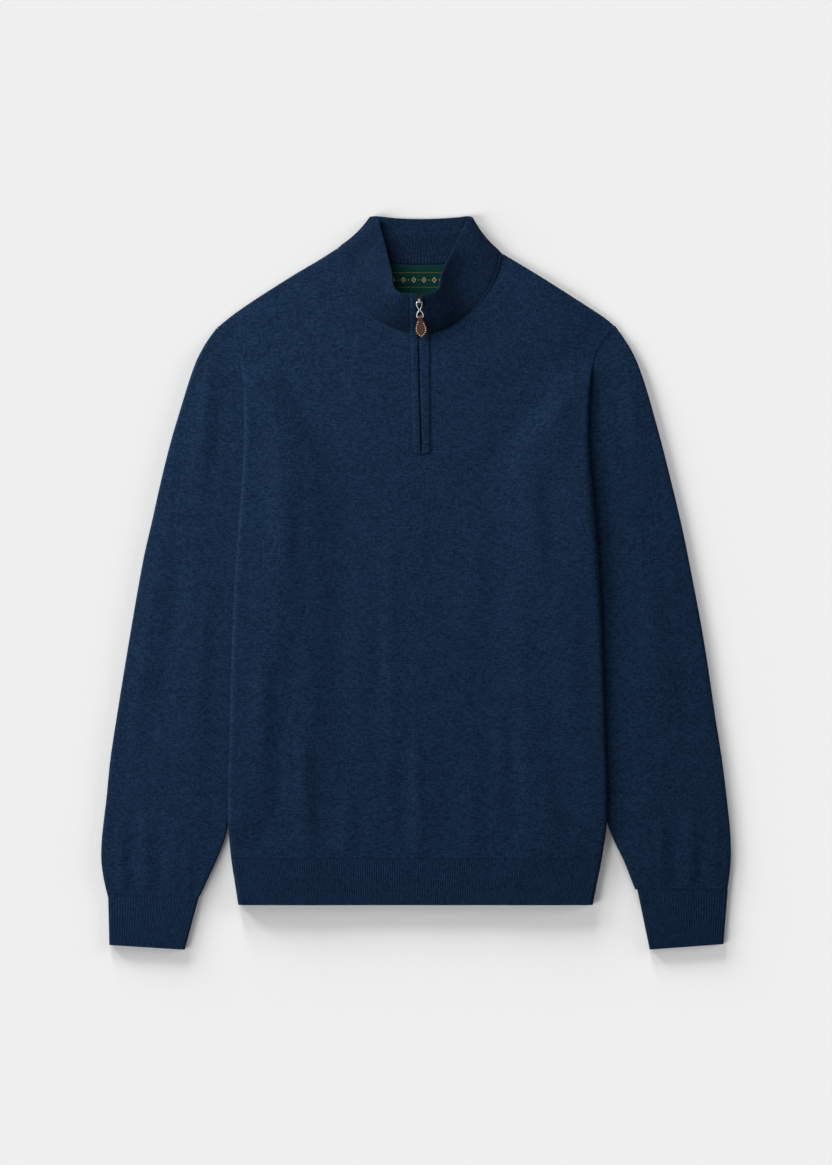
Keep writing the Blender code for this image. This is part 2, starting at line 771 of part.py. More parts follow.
def collar_row(place):
    """All columns of COLLAR at a place between its rows, on a smooth curve."""
    index = min(int(place), len(COLLAR) - 2)
    t = place - index
    rows = [COLLAR[min(max(index + i, 0), len(COLLAR) - 1)] for i in (-1, 0, 1, 2)]
    return [0.5 * (2.0 * b + (c - a) * t + (2.0 * a - 5.0 * b + 4.0 * c - d) * t ** 2
                   + (3.0 * b - a - 3.0 * c + d) * t ** 3) for a, b, c, d in zip(*rows)]


def collar_point(place, height, out=0.0):
    """A point of the collar, height 0 at the seam and 1 at the top edge, and its outside."""
    def flat(at):
        row = collar_row(min(max(at, 0.0), len(COLLAR) - 1.0))
        seam, edge = Vector(row[0:3]), Vector(row[3:6])
        point = seam.lerp(edge, height)
        inward = Vector((edge.y - seam.y, seam.x - edge.x, 0.0)).normalized()
        point += inward * row[7] * 4.0 * height * (1.0 - height)
        point.z = max(point.z, COLLAR_WALL / 2.0)
        return point, edge - seam, row[6]

    point, rise, bulge = flat(place)
    run = flat(place + 0.15)[0] - flat(place - 0.15)[0]
    normal = rise.cross(run).normalized()
    point += normal * bulge * 4.0 * height * (1.0 - height)
    return point + normal * out, normal


def collar_places():
    """Where the ribs' tops and valleys lie, evenly spaced at the middle of the collar."""
    fine = [i * (len(COLLAR) - 1) / 700.0 for i in range(701)]
    middles = [collar_point(place, 0.5)[0] for place in fine]
    lengths = [0.0]
    for first, second in zip(middles, middles[1:]):
        lengths.append(lengths[-1] + (second - first).length)
    count = 2 * round(lengths[-1] / COLLAR_RIB)
    places = []
    index = 0
    for i in range(count + 1):
        target = lengths[-1] * i / count
        while index < len(lengths) - 2 and lengths[index + 1] < target:
            index += 1
        share = (target - lengths[index]) / (lengths[index + 1] - lengths[index])
        places.append(mix(fine[index], fine[index + 1], share))
    return places


def collar():
    outer, inner = [], []
    places = collar_places()
    for height in COLLAR_ROWS:
        out, into = [], []
        for i, place in enumerate(places):
            normal = collar_point(place, height)[1]
            rib = RIB_HEIGHT * (i % 2) * smooth(normal.z * 2.0 + 0.6)
            out.append(collar_point(place, height, COLLAR_WALL / 2.0 + rib)[0])
            into.append(collar_point(place, height, -COLLAR_WALL / 2.0)[0])
        outer.append(out)
        inner.append(into)
    return ribbed("collar", outer, inner, navy_rib)


# ---- zip --------------------------------------------------------------------------------

def zip_path():
    """Points of the zip's line from the bottom of the opening to the top of the collar,
    with the upward direction of the cloth at each."""
    points = []
    for y in (SLOT_END + 2.0 * SEAM, 165.0, 195.0, 230.0, 262.0):
        x = zip_line(y, 1)
        points.append(Vector((x, y, front_height(x, y) + 0.6)))
    seam, edge = Vector(COLLAR[0][0:3]), Vector(COLLAR[0][3:6])
    rise = (edge - seam).normalized()
    out = Vector((0.0, -rise.z, rise.y))
    for share in (0.06, 0.25, 0.5, 0.75, 0.9, 1.0):
        point = seam.lerp(edge, share) + out * COLLAR[0][6] * 4.0 * share * (1.0 - share)
        points.append(Vector((zip_line(point.y, 1), point.y, point.z)))
    ups = []
    for i in range(len(points)):
        run = points[min(i + 1, len(points) - 1)] - points[max(i - 1, 0)]
        ups.append(Vector((0.0, -run.z, run.y)).normalized())
    return list(zip(points, ups))


def on_zip(name, section, material):
    """A strip along the zip's line. Its section gives, for a height y, points of how far
    across from X = 0 and how far up from the cloth's middle."""
    rings = []
    for point, up in zip_path():
        rings.append([(x, point.y + up.y * rise, point.z + up.z * rise)
                      for x, rise in section(point.y)])
    return loft(name, rings, material)


def band_section(x_start, x_end):
    low, high = BAND
    edge, drop = BAND_EDGE
    return [(x_start, low), (x_start, high - drop), (x_start + edge, high),
            (x_end - edge, high), (x_end, high - drop), (x_end, low)]


def placket_left():
    return on_zip("placket_left", lambda y: band_section(
        zip_line(y, 2) + SEAM, zip_line(y, 1) - CHAIN_HALF - SEAM), navy_rib)


def placket_right():
    return on_zip("placket_right", lambda y: band_section(
        zip_line(y, 1) + CHAIN_HALF + SEAM, zip_line(y, 3) - SEAM), navy_rib)


def zip_tape():
    def section(y):
        left, middle, right = zip_line(y, 2), zip_line(y, 1), zip_line(y, 3)
        low, high = TAPE
        return [(left + SEAM, low), (left + SEAM, high), (middle - CHAIN_HALF, high),
                (middle - CHAIN_HALF, CHAIN_TOP), (middle + CHAIN_HALF, CHAIN_TOP),
                (middle + CHAIN_HALF, high), (right - SEAM, high), (right - SEAM, low)]
    return on_zip("zip_tape", section, black)


def slider_place():
    """The slider's frame on the collar: X across, Y up the slope, Z out of the cloth."""
    path = zip_path()
    index = next(i for i in range(len(path) - 1) if path[i + 1][0].y >= SLIDER_AT)
    (first, up_a), (second, up_b) = path[index], path[index + 1]
    share = (SLIDER_AT - first.y) / (second.y - first.y)
    up = up_a.lerp(up_b, share).normalized()
    point = first.lerp(second, share) + up * (BAND[1] + SEAM)
    across = Vector((1.0, 0.0, 0.0))
    return Matrix.Translation(point * MM) @ Matrix(
        (across, up.cross(across), up)).transposed().to_4x4()


def cutter(name, work, place):
    """A hidden solid that another one is joined with or cut by."""
    bmesh.ops.scale(work, vec=(MM, MM, MM), verts=work.verts)
    mesh = bpy.data.meshes.new(name)
    work.to_mesh(mesh)
    work.free()
    made = bpy.data.objects.new(name, mesh)
    made.matrix_world = place
    made.hide_render = True
    made.display_type = "WIRE"
    cutters.objects.link(made)
    return made


def rod_along_x(radius, length, at_y, at_z, sides=20):
    work = bmesh.new()
    turn = Matrix.Translation((0.0, at_y, at_z)) @ Matrix.Rotation(math.pi / 2.0, 4, "Y")
    bmesh.ops.create_cone(work, cap_ends=True, segments=sides, radius1=radius, radius2=radius,
                          depth=length, matrix=turn)
    return work


def zip_slider():
    """A plate over the chain with a bridge that holds the link's bar."""
    place = slider_place()
    half = SLIDER_LENGTH / 2.0
    outline = [(-4.3, half - 1.2), (-3.0, half), (3.0, half), (4.3, half - 1.2),
               (3.4, -half + 1.0), (2.4, -half), (-2.4, -half), (-3.4, -half + 1.0)]
    rings = [[(x, y, z) for x, y in outline] for z in (0.0, SLIDER_THICK)]
    plate = loft("zip_slider", rings, gunmetal)
    plate.matrix_world = place
    soft = plate.modifiers.new("soft edges", "BEVEL")
    soft.width = 0.4 * MM
    soft.segments = 2
    soft.limit_method = "ANGLE"
    bar_z = SLIDER_THICK + BAR_UP
    width, length, height = BRIDGE
    block = bmesh.new()
    bmesh.ops.create_cube(block, size=1.0)
    bmesh.ops.scale(block, vec=(width, length, height + 1.0), verts=block.verts)
    bmesh.ops.translate(block, vec=(0.0, -BAR_DOWN, SLIDER_THICK - 1.0 + (height + 1.0) / 2.0),
                        verts=block.verts)
    bridge = cutter("slider bridge", block, place)
    hole = cutter("slider hole", rod_along_x(BAR_HOLE, 12.0, -BAR_DOWN, bar_z), place)
    for helper, operation in ((bridge, "UNION"), (hole, "DIFFERENCE")):
        change = plate.modifiers.new(helper.name, "BOOLEAN")
        change.object = helper
        change.operation = operation
    return place @ Matrix.Translation(Vector((0.0, -BAR_DOWN, bar_z)) * MM)


def pull_link(hinge):
    """Hourglass of wire whose top bar turns in the slider's bridge."""
    curve = bpy.data.curves.new("pull_link", "CURVE")
    curve.dimensions = "3D"
    curve.bevel_depth = LINK_WIRE * MM
    curve.bevel_resolution = 2
    side = [(x, -down) for x, down in LINK_HALF]
    outline = side + [(-x, y) for x, y in reversed(side)]
    spline = curve.splines.new("POLY")
    spline.points.add(len(outline) - 1)
    for point, (x, y) in zip(spline.points, outline):
        point.co = (x * MM, y * MM, 0.0, 1.0)
    spline.use_cyclic_u = True
    curve.materials.append(silver)
    link = bpy.data.objects.new("pull_link", curve)
    link.matrix_world = hinge
    sweater.objects.link(link)
    return link


def pull_tab(bar):
    """Leather folded round the link's lower bar."""
    rings = []
    for down, half, thick in LEATHER:
        soft = min(0.5, thick / 4.0)
        deep = thick / 2.0
        rings.append([(-half, -down, -deep + soft), (-half, -down, deep - soft),
                      (-half + soft, -down, deep), (half - soft, -down, deep),
                      (half, -down, deep - soft), (half, -down, -deep + soft),
                      (half - soft, -down, -deep), (-half + soft, -down, -deep)])
    tab = loft("pull_tab", rings, leather)
    tab.matrix_world = bar
    hole = cutter("tab hole", rod_along_x(LEATHER_HOLE, 12.0, 0.0, 0.0), bar)
    change = tab.modifiers.new(hole.name, "BOOLEAN")
    change.object = hole
    change.operation = "DIFFERENCE"
    return tab


def neck_label():
    left, right, bottom, top, thick = LABEL
    low = WALL + SEAM
    corners = [(left, bottom), (right, bottom), (right, top), (left, top)]
    return loft("neck_label", [[(x, y, z) for x, y in corners] for z in (low, low + thick)], green)


# ---- the sweater ------------------------------------------------------------------------

for old in list(bpy.data.objects):
    bpy.data.objects.remove(old, do_unlink=True)

sweater = new_collection("quarter_zip_sweater")
cutters = new_collection("cutters")

navy = paint("navy knit", (0.011, 0.025, 0.055), 0.85)
navy_rib = paint("navy rib", (0.008, 0.018, 0.042), 0.88)
black = paint("zip black", (0.006, 0.007, 0.010), 0.6)
gunmetal = paint("gunmetal", (0.10, 0.10, 0.11), 0.35, 1.0)
silver = paint("silver metal", (0.75, 0.75, 0.76), 0.2, 1.0)
leather = paint("brown leather", (0.09, 0.048, 0.034), 0.55)
green = paint("dark green weave", (0.012, 0.055, 0.035), 0.7)

front_panel()
back_panel()
hem_front()
hem_back()
for sleeve_side in ("left", "right"):
    sleeve(sleeve_side)
    cuff(sleeve_side)
collar()
placket_left()
placket_right()
zip_tape()
slider_bar = zip_slider()
link_place = (Matrix.Translation(slider_bar.to_translation())
              @ Matrix.Rotation(PULL_TURN, 4, "Z") @ Matrix.Rotation(PULL_TILT, 4, "X"))
pull_link(link_place)
pull_tab(link_place @ Matrix.Translation((0.0, -LINK_HALF[-1][1] * MM, 0.0)))
neck_label()
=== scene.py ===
"""A quarter zip sweater in fine navy knit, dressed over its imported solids.

It lies flat on a pale table with its front up and its neck towards +Y. The tables give
millimetres, and the meshes are made in metres.
"""
import math

import bpy
import numpy as np
from mathutils import Matrix, Vector


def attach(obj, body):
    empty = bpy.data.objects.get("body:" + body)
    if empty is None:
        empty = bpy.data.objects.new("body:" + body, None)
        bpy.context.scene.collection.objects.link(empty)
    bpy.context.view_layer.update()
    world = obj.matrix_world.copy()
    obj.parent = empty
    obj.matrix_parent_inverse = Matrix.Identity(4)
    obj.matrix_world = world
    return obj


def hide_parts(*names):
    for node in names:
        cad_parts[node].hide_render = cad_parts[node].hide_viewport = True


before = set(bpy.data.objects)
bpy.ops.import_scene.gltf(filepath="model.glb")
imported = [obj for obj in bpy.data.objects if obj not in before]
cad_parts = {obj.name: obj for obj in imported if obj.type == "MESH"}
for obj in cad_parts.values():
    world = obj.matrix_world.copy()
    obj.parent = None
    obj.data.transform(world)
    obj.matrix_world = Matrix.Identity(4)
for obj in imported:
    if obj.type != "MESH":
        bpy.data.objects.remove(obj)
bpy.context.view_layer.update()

MM = 0.001


# ---- The table, the lamps and the camera ----
# The sweater lies on a matt, pale table. A wide and a high lamp at the upper left shine on
# the sweater, and low, even lights along the table give it long soft shadows.

TABLE_WHITE = 0.765
CAMERA_HEIGHT = 2.9435      # the frame is 1165 picture rows of 1.07 mm each


def add_object(name, data):
    made = bpy.data.objects.new(name, data)
    bpy.context.scene.collection.objects.link(made)
    return made


camera_data = bpy.data.cameras.new("camera")
camera_data.lens = 85.0
camera_data.sensor_width = 36.0
camera = add_object("camera", camera_data)
camera.location = (0.0, 0.0, CAMERA_HEIGHT)
bpy.context.scene.camera = camera
bpy.context.scene.view_settings.view_transform = "Standard"

table_mesh = bpy.data.meshes.new("table")
table_mesh.from_pydata([(-4.0, -4.0, -0.0003), (4.0, -4.0, -0.0003), (4.0, 4.0, -0.0003),
                        (-4.0, 4.0, -0.0003)], [], [(0, 1, 2, 3)])
table_finish = bpy.data.materials.new("matt table")
table_finish.use_nodes = True
table_shader = table_finish.node_tree.nodes["Principled BSDF"]
table_shader.inputs["Base Color"].default_value = (TABLE_WHITE, TABLE_WHITE, TABLE_WHITE, 1.0)
table_shader.inputs["Roughness"].default_value = 0.9
table_shader.inputs["Specular IOR Level"].default_value = 0.1
table_mesh.materials.append(table_finish)
table = add_object("table", table_mesh)


def lamp(name, kind, power, place, *size, reaches=None):
    """A light turned towards the sweater. reaches says if it lights only the table, or all
    but the table."""
    light = bpy.data.lights.new(name, kind)
    light.energy = power
    if kind == "SUN":
        light.angle = math.radians(size[0])
    else:
        light.shape = "RECTANGLE"
        light.size, light.size_y = size
        light.color = (1.0, 0.99, 0.975)
    made = add_object(name, light)
    made.location = place
    made.rotation_euler = Vector(place).to_track_quat("Z", "Y").to_euler()
    if reaches:
        lit = bpy.data.collections.new(name)
        lit.objects.link(table)
        lit.collection_objects[0].light_linking.link_state = reaches
        made.light_linking.receiver_collection = lit


lamp("wide lamp", "AREA", 36.0, (-1.60, 0.85, 0.85), 1.3, 0.8, reaches="EXCLUDE")
lamp("low lamp", "SUN", 4.1, (-0.62, 2.91, 0.52), 15.0, reaches="INCLUDE")
lamp("low left lamp", "SUN", 4.6, (-2.07, 2.14, 0.42), 15.0, reaches="INCLUDE")
lamp("side lamp", "SUN", 2.8, (-1.50, -0.75, 0.74), 32.0, reaches="INCLUDE")
lamp("low fill lamp", "SUN", 1.63, (2.76, 1.00, 0.62), 20.0, reaches="INCLUDE")
lamp("high lamp", "AREA", 30.0, (-1.10, 1.20, 1.50), 1.5, 1.5, reaches="EXCLUDE")

room = bpy.data.worlds.new("room")
room.use_nodes = True
room.node_tree.nodes["Background"].inputs["Color"].default_value = (0.98, 0.99, 1.0, 1.0)
room.node_tree.nodes["Background"].inputs["Strength"].default_value = 0.237
bpy.context.scene.world = room


# ---- The front panel ----
# One panel of plain fine knit, open at the middle for the zip. Its sides are wrapped round
# the back's and folded in under it, and its shoulders turn over on to the back.

WALL = 1.4                  # one layer of the knit
LAYER = 1.8                 # a layer and the air over it
SEAM = 0.3                  # between pieces that are sewn together
BODY_LOFT = 1.9             # how far the front lifts off the back in its middle
HEM_LOFT = 3.0              # and more at the hem, which the folded sides hold up
SHOULDER_TIP = 273.4
UNDERARM = 208.0            # where the side starts to fold in
SLOT_END = 138.6            # bottom of the zip opening
HEM_SEAM = -294.7
HEM_END = -344.5
RAMP = 40.0                 # length over which a layer climbs on to what lies below it
CLEAR = 8.0                 # how far before that edge it is all the way up
SIGN = {"left": -1.0, "right": 1.0}
COLUMN = {"left": 1, "right": 2}            # of a side's value in the tables

# Edge of the body as it lies, measured out from X = 0
BODY = (
    # y,     left,  right
    (273.4, 211.4, 212.7),
    (259.5, 199.6, 201.7),
    (242.4, 189.9, 192.1),
    (225, 185.7, 188.3),
    (208, 183.8, 186),
    (150, 183.8, 184.6),
    (93, 186.9, 188.9),
    (24, 192.1, 194.5),
    (-60, 196.3, 198.6),
    (-150, 198.6, 201.6),
    (-252, 200.6, 203.8),
    (-295, 197.6, 198.8),
    (-318, 194.1, 194.2),
    (-345, 190, 188.9),
)

# Depth of the side that is folded in behind the body
SIDE_FOLD = (
    # y,    depth
    (205, 6),
    (190, 16),
    (150, 46),
    (105, 70),
    (-295, 70),
    (-345, 66),
)

# How much the front's rounded edge swells up over the sleeve
PUFF = (
    # y,    left, right
    (208, 0, 0),
    (150, 0.6, 2.6),
    (95, 1.2, 5.6),
    (30, 1.4, 5.6),
    (-50, 1.2, 2.8),
    (-150, 1, 1.6),
    (-255, 0.8, 1.2),
    (-295, 0, 0),
)

# Inner and outer edge of the sleeves, measured out from X = 0
SLEEVE = (
    # y,     left in, left out, right in, right out
    (208, 181.5, 245, 183.5, 246),
    (195, 175, 248.9, 177, 249.9),
    (152.5, 150, 261.6, 151, 261.6),
    (110, 139, 272.3, 140, 272.3),
    (67, 139, 281.9, 141, 282.6),
    (24, 147, 291.6, 149, 291.6),
    (-61.5, 168, 306.6, 171, 307.6),
    (-147, 184.4, 320.5, 187, 320.5),
    (-190, 191, 326.9, 194, 327.2),
    (-232.7, 197, 331.2, 200.5, 332.4),
    (-256, 200.6, 334, 204.6, 335),
    (-275.5, 204.9, 336, 211.6, 336.3),
    (-297, 213.5, 336.5, 222, 336.5),
    (-318.3, 223.1, 333.6, 230.4, 334.4),
    (-336, 231.3, 329.4, 237.5, 331.6),
)

# The collar's seam and its top edge, from its left front end round the back
COLLAR = (
    # seam x, y,    z,    edge x, y,    z,   bulge, tuck
    (-7.4, 267, 5, -7.4, 306, 30, 2, 0),
    (-24, 271.6, 5, -17.2, 307.6, 29, 2.4, 0),
    (-39.6, 279.4, 5, -24.2, 314.2, 26, 2.8, 0),
    (-54.2, 291.2, 5.1, -27.2, 325.6, 21.5, 3, 0),
    (-66.2, 306, 5.2, -28.4, 338, 17.5, 2.8, 0),
    (-74.2, 325, 5.4, -31, 354, 13.5, 2.2, 0.4),
    (-78.8, 341.5, 5.8, -35.9, 371.8, 10, 1.2, 1.2),
    (-80.2, 352.6, 6.2, -43, 385.8, 7.2, 0.4, 2.4),
    (-83, 357.2, 3.7, -47.6, 391, 4.2, 0, 2.6),
    (-79.2, 357.6, 1.2, -43, 392, 1.2, 0, 2.4),
    (-66, 351.4, 1.2, -34.6, 391.2, 1.2, 0, 1.2),
    (-44, 345.2, 1.2, -22.6, 389.8, 1.2, 0, 0.4),
    (-20, 341.8, 1.2, -8, 389, 1.2, 0, 0),
    (5, 340.8, 1.2, 5, 388.8, 1.2, 0, 0),
    (30, 341.6, 1.2, 19, 389, 1.2, 0, 0),
    (54, 344.6, 1.2, 34, 389.8, 1.2, 0, 0),
    (75, 348.8, 1.2, 46, 390.8, 1.2, 0, 0),
    (87.6, 351.6, 1.2, 54.6, 392, 1.2, 0, -2.2),
    (91.6, 351.2, 3.7, 59.2, 391, 4.2, 0, -3),
    (89.8, 346.4, 6.2, 55, 385.8, 7.2, 0.4, -2.4),
    (88.4, 338, 5.8, 46.2, 370.4, 10, 0.6, 0),
    (83.4, 323.6, 5.4, 38.4, 353.4, 13.5, -0.8, 0),
    (73.4, 306.6, 5.2, 30.8, 338.4, 17, -2.2, 0),
    (61.8, 292, 5.1, 26.2, 324.6, 21, -1.6, 0),
    (48.6, 281, 5, 24.2, 313.6, 25.5, 0.8, 0),
    (32.6, 271.4, 5, 19.2, 308.4, 29, 2.2, 0),
    (14, 265.4, 5, 14, 306.4, 30, 2, 0),
)
FRONT_PLACES = {"left": (0, 7), "right": (26, 19)}      # rows from the zip outwards
CHEST_START = {"left": 5.0, "right": 14.3}      # the chest's x below each neckline's ends
CHEST_NECK = {"left": 82.0, "right": 88.0}

# Silhouette of the shoulders, from the neck to the armhole, x measured out from X = 0
SHOULDER = (
    # left x, y,   right x, y
    (84.4, 357, 93.2, 351.2),
    (104, 344.6, 108, 342.4),
    (128, 330.4, 130, 329.1),
    (152, 315.5, 152, 315.3),
    (172, 302.6, 172, 302.5),
    (190, 290.4, 190, 291),
    (202, 281.4, 203, 282.2),
    (211.4, 273.4, 212.7, 273.9),
)

# The zip's line, and the cut edges of the cloth on each side of it
ZIP_LINE = (
    # y,    zip x, left x, right x
    (306, 3.4, -7, 13.7),
    (267, 2.6, -7, 14),
    (138.6, 5.9, -4.4, 14.4),
)

# Creases of the front, each along two to four points: a ridge is positive, a trough
# negative. The slack is how much of its length it takes to fade in and out.
FRONT_CREASES = (
    # points,                                             half width, height, slack
    (((-139, 150), (-141, 70), (-138, -14)), 13, 1.7, 0.45),
    (((-122, 120), (-126, 50), (-124, -30)), 11, -1, 0.5),
    (((-166, -48), (-165, -170), (-160, -275)), 12, 1.2, 0.4),
    (((-148, -80), (-147, -180), (-150, -282)), 10, -0.9, 0.4),
    (((-121, -140), (-119, -220), (-114, -300)), 9, 1.3, 0.35),
    (((-103, -165), (-104, -240), (-102, -300)), 8, -0.9, 0.35),
    (((-75, -215), (-73, -260), (-72, -302)), 7, 1, 0.3),
    (((-59, -230), (-60, -300)), 6, -0.7, 0.35),
    (((-14, -160), (-13, -230), (-11, -302)), 7, -1.1, 0.3),
    (((1, -150), (2, -230), (4, -302)), 6.5, 1.5, 0.3),
    (((40, -190), (34, -250), (27, -303)), 12, -1, 0.35),
    (((64, -186), (60, -250), (61, -303)), 9, 0.9, 0.35),
    (((88, -100), (90, -200), (86, -303)), 9, 1.3, 0.35),
    (((104, -120), (105, -210), (107, -303)), 9, -1, 0.35),
    (((141, -200), (143, -303)), 9, 0.9, 0.35),
    (((-30, 80), (-27, -80), (-31, -280)), 7, 1, 0.4),
    (((-42, 20), (-41, -100), (-46, -220)), 9, -0.7, 0.5),
    (((60, 110), (66, 10), (58, -90)), 14, 0.8, 0.5),
    (((118, 160), (126, 80), (121, -30)), 14, 0.9, 0.5),
    (((136, 130), (143, 60), (139, -60)), 11, -0.8, 0.5),
    (((166, 40), (172, -50), (168, -150)), 9, 0.9, 0.5),
    (((-176, 190), (-160, 150), (-128, 128)), 10, 1, 0.5),
    (((176, 186), (158, 146), (132, 120)), 10, 0.9, 0.5),
    (((-168, 246), (-150, 205), (-144, 160)), 11, 1, 0.5),
    (((172, 240), (156, 200), (150, 165)), 11, 0.8, 0.5),
    (((-181, 300), (-150, 307), (-118, 325)), 8, -0.8, 0.5),
    (((-95, 262), (-60, 232), (-22, 214)), 13, 0.8, 0.5),
    (((104, 258), (70, 228), (34, 206)), 13, 0.8, 0.5),
)


def smooth(value):
    """Soft step from 0 to 1."""
    value = np.clip(value, 0.0, 1.0)
    return value * value * (3.0 - 2.0 * value)


def mix(start, end, amount):
    return start + (end - start) * amount


def coords(*parts):
    """Points from their coordinates, each of them a number or a grid."""
    return np.stack(np.broadcast_arrays(*parts), axis=-1)


def unit(rows):
    return rows / np.linalg.norm(rows, axis=-1)[..., None]


def lengths(line):
    """How far along a line each of its points lies."""
    return np.concatenate([[0.0], np.cumsum(np.linalg.norm(np.diff(line, axis=0), axis=1))])


def sample(far, at, rows):
    """Rows at some distances along a line, whose own rows lie at the distances at."""
    return np.stack([np.interp(far, at, column) for column in rows.T], axis=-1)


def along(table, place, column):
    """A column of a table at places in its first column, on a curve through the rows."""
    rows = sorted(table)
    x, y = np.array(rows)[:, 0], np.array(rows)[:, column]
    slope = np.empty(len(x))
    slope[1:-1] = (y[2:] - y[:-2]) / (x[2:] - x[:-2])
    slope[0], slope[-1] = (y[1] - y[0]) / (x[1] - x[0]), (y[-1] - y[-2]) / (x[-1] - x[-2])
    place = np.clip(place, x[0], x[-1])
    i = np.clip(np.searchsorted(x, place) - 1, 0, len(x) - 2)
    span = x[i + 1] - x[i]
    t = (place - x[i]) / span
    return ((2 * t ** 3 - 3 * t ** 2 + 1) * y[i] + (t ** 3 - 2 * t ** 2 + t) * span * slope[i]
            + (3 * t ** 2 - 2 * t ** 3) * y[i + 1] + (t ** 3 - t ** 2) * span * slope[i + 1])


def catmull(rows, place):
    """Rows of a table at places between them, on a smooth curve."""
    rows = np.array(rows, float)
    i = np.clip(np.asarray(place).astype(int), 0, len(rows) - 2)
    t = (place - i)[:, None]
    a, b, c, d = (rows[np.clip(i + k, 0, len(rows) - 1)] for k in (-1, 0, 1, 2))
    return 0.5 * (2 * b + (c - a) * t + (2 * a - 5 * b + 4 * c - d) * t ** 2
                  + (3 * b - a - 3 * c + d) * t ** 3)


def body_edge(side, y):
    return along(BODY, y, COLUMN[side])


def puff(side, y):
    return along(PUFF, y, COLUMN[side])


def sleeve_inner(side, y):
    tucked = along(SLEEVE, y, 2 * COLUMN[side] - 1)
    return np.where(y >= UNDERARM, body_edge(side, y) + SEAM, tucked)


def at_side(rule, x, y):
    """What a rule gives for the side that x is on."""
    return np.where(x < 0.0, rule("left", y), rule("right", y))


def below_armhole(y):
    """0 where the side is sewn to the sleeve head, 1 where it lies over the sleeve."""
    return smooth((UNDERARM + 32.0 - y) / 30.0)


def climb(x, start):
    """0 to 1 over a ramp that ends just before what lies below starts."""
    return smooth((np.abs(x) - start + CLEAR + RAMP) / RAMP)


def lift(x, y):
    """Height of the body's lowest layer, which climbs over the sleeve."""
    over = climb(x, at_side(sleeve_inner, x, y))
    return 2.0 * LAYER * over * below_armhole(y) * smooth((y - HEM_SEAM) / 40.0)


def back_height(x, y):
    """Middle of the back's wall, where it lies on top of the folded sides."""
    over = climb(x, at_side(body_edge, x, y) - along(SIDE_FOLD, y, 1))
    return lift(x, y) + 2.0 * LAYER * over * below_armhole(y) + WALL / 2.0


def creases(rows, x, y):
    """Height of a table of creases: soft ridges and troughs along curved lines."""
    height = np.zeros(np.shape(x))
    for points, width, depth, slack in rows:
        line = catmull(points, np.linspace(0.0, len(points) - 1.0, 14))
        runs = np.diff(line, axis=0)
        near = np.full(height.shape, 1e9)
        reach = np.zeros(height.shape)
        for i, (start, run) in enumerate(zip(line, runs)):
            t = np.clip(((x - start[0]) * run[0] + (y - start[1]) * run[1]) / (run @ run), 0, 1)
            gap = np.hypot(x - start[0] - t * run[0], y - start[1] - t * run[1])
            closer = gap < near
            near = np.where(closer, gap, near)
            reach = np.where(closer, (i + t) / len(runs), reach)
        taper = smooth(reach / slack) * smooth((1.0 - reach) / slack)
        waver = 1.0 + 0.25 * np.sin(9.0 * reach + 40.0 * width)
        height += depth * np.exp(-(near / (width * waver)) ** 2) * taper
    return height


def ripple(x, y, seed, longest, height):
    """Faint waves over a whole panel, all lengths and directions mixed."""
    draw = np.random.default_rng(seed)
    total = np.zeros(np.shape(x))
    for _ in range(14):
        length = longest * draw.uniform(0.28, 1.0)
        turn = draw.normal(0.0, 0.55)
        phase = draw.uniform(0.0, 2.0 * math.pi)
        wave = 2.0 * math.pi / length * (x * math.cos(turn) + 0.55 * y * math.sin(turn))
        total += np.sin(wave + phase + 0.6 * np.sin(y / 61.0 + phase)) * length / longest
    return total * height / 4.0


def front_height(x, y):
    """Middle of the front's wall, where it lies on top."""
    inward = at_side(body_edge, x, y) - np.abs(x)
    loft = BODY_LOFT * smooth((inward - 8.0) / 45.0) * mix(0.35, 1.0, smooth((y - HEM_END) / 80.0))
    fade = smooth((inward - 14.0) / 25.0) * mix(0.35, 1.0, smooth((y - HEM_END - 8.0) / 60.0))
    drape = creases(FRONT_CREASES, x, y) + ripple(x, y, 3, 120.0, 0.32)
    swell = at_side(puff, x, y) * smooth((55.0 - inward) / 50.0)
    swell += HEM_LOFT * smooth((inward - 70.0) / 45.0) * smooth((HEM_END + 120.0 - y) / 120.0)
    return back_height(x, y) + LAYER + swell + loft + np.maximum(drape * fade, -0.15 - loft)


NECK_COLUMNS = 26
SHOULDER_COLUMNS = 34
YOKE_ROWS = 38
TURN = 6                    # facets of a fold
FOLD_COLUMNS = 12           # columns of the side that is folded in
ARM_ROWS = 22               # from the underarm to the bottom of the zip
BODY_ROWS = 124             # from there to the hem
MIDDLE_COLUMNS = 5          # between the zip's two edges, below it


def slot_edge(side, y):
    return SIGN[side] * along(ZIP_LINE, y, COLUMN[side] + 1)


def chest_columns(side):
    edge = float(body_edge(side, UNDERARM))
    neck = np.linspace(CHEST_START[side], CHEST_NECK[side], NECK_COLUMNS)
    return np.concatenate([neck, np.linspace(CHEST_NECK[side], edge, SHOULDER_COLUMNS + 1)[1:]])


def neck_end(side, back):
    """Where the columns below the collar end: on its seam, x measured out from X = 0."""
    fine = catmull(COLLAR, np.linspace(*FRONT_PLACES[side], 300))
    at = lengths(fine[:, :2])
    rows = sample(np.linspace(0.0, at[-1], NECK_COLUMNS), at, fine)
    x, y = (rows[:, 0:2] + 0.35 * unit(rows[:, 0:2] - rows[:, 3:5])).T
    if back:
        seam = np.array([row for row in COLLAR if row[2] < WALL])
        y = np.interp(x, seam[:, 0], seam[:, 1]) - 2.0 * SEAM
    return SIGN[side] * x, y


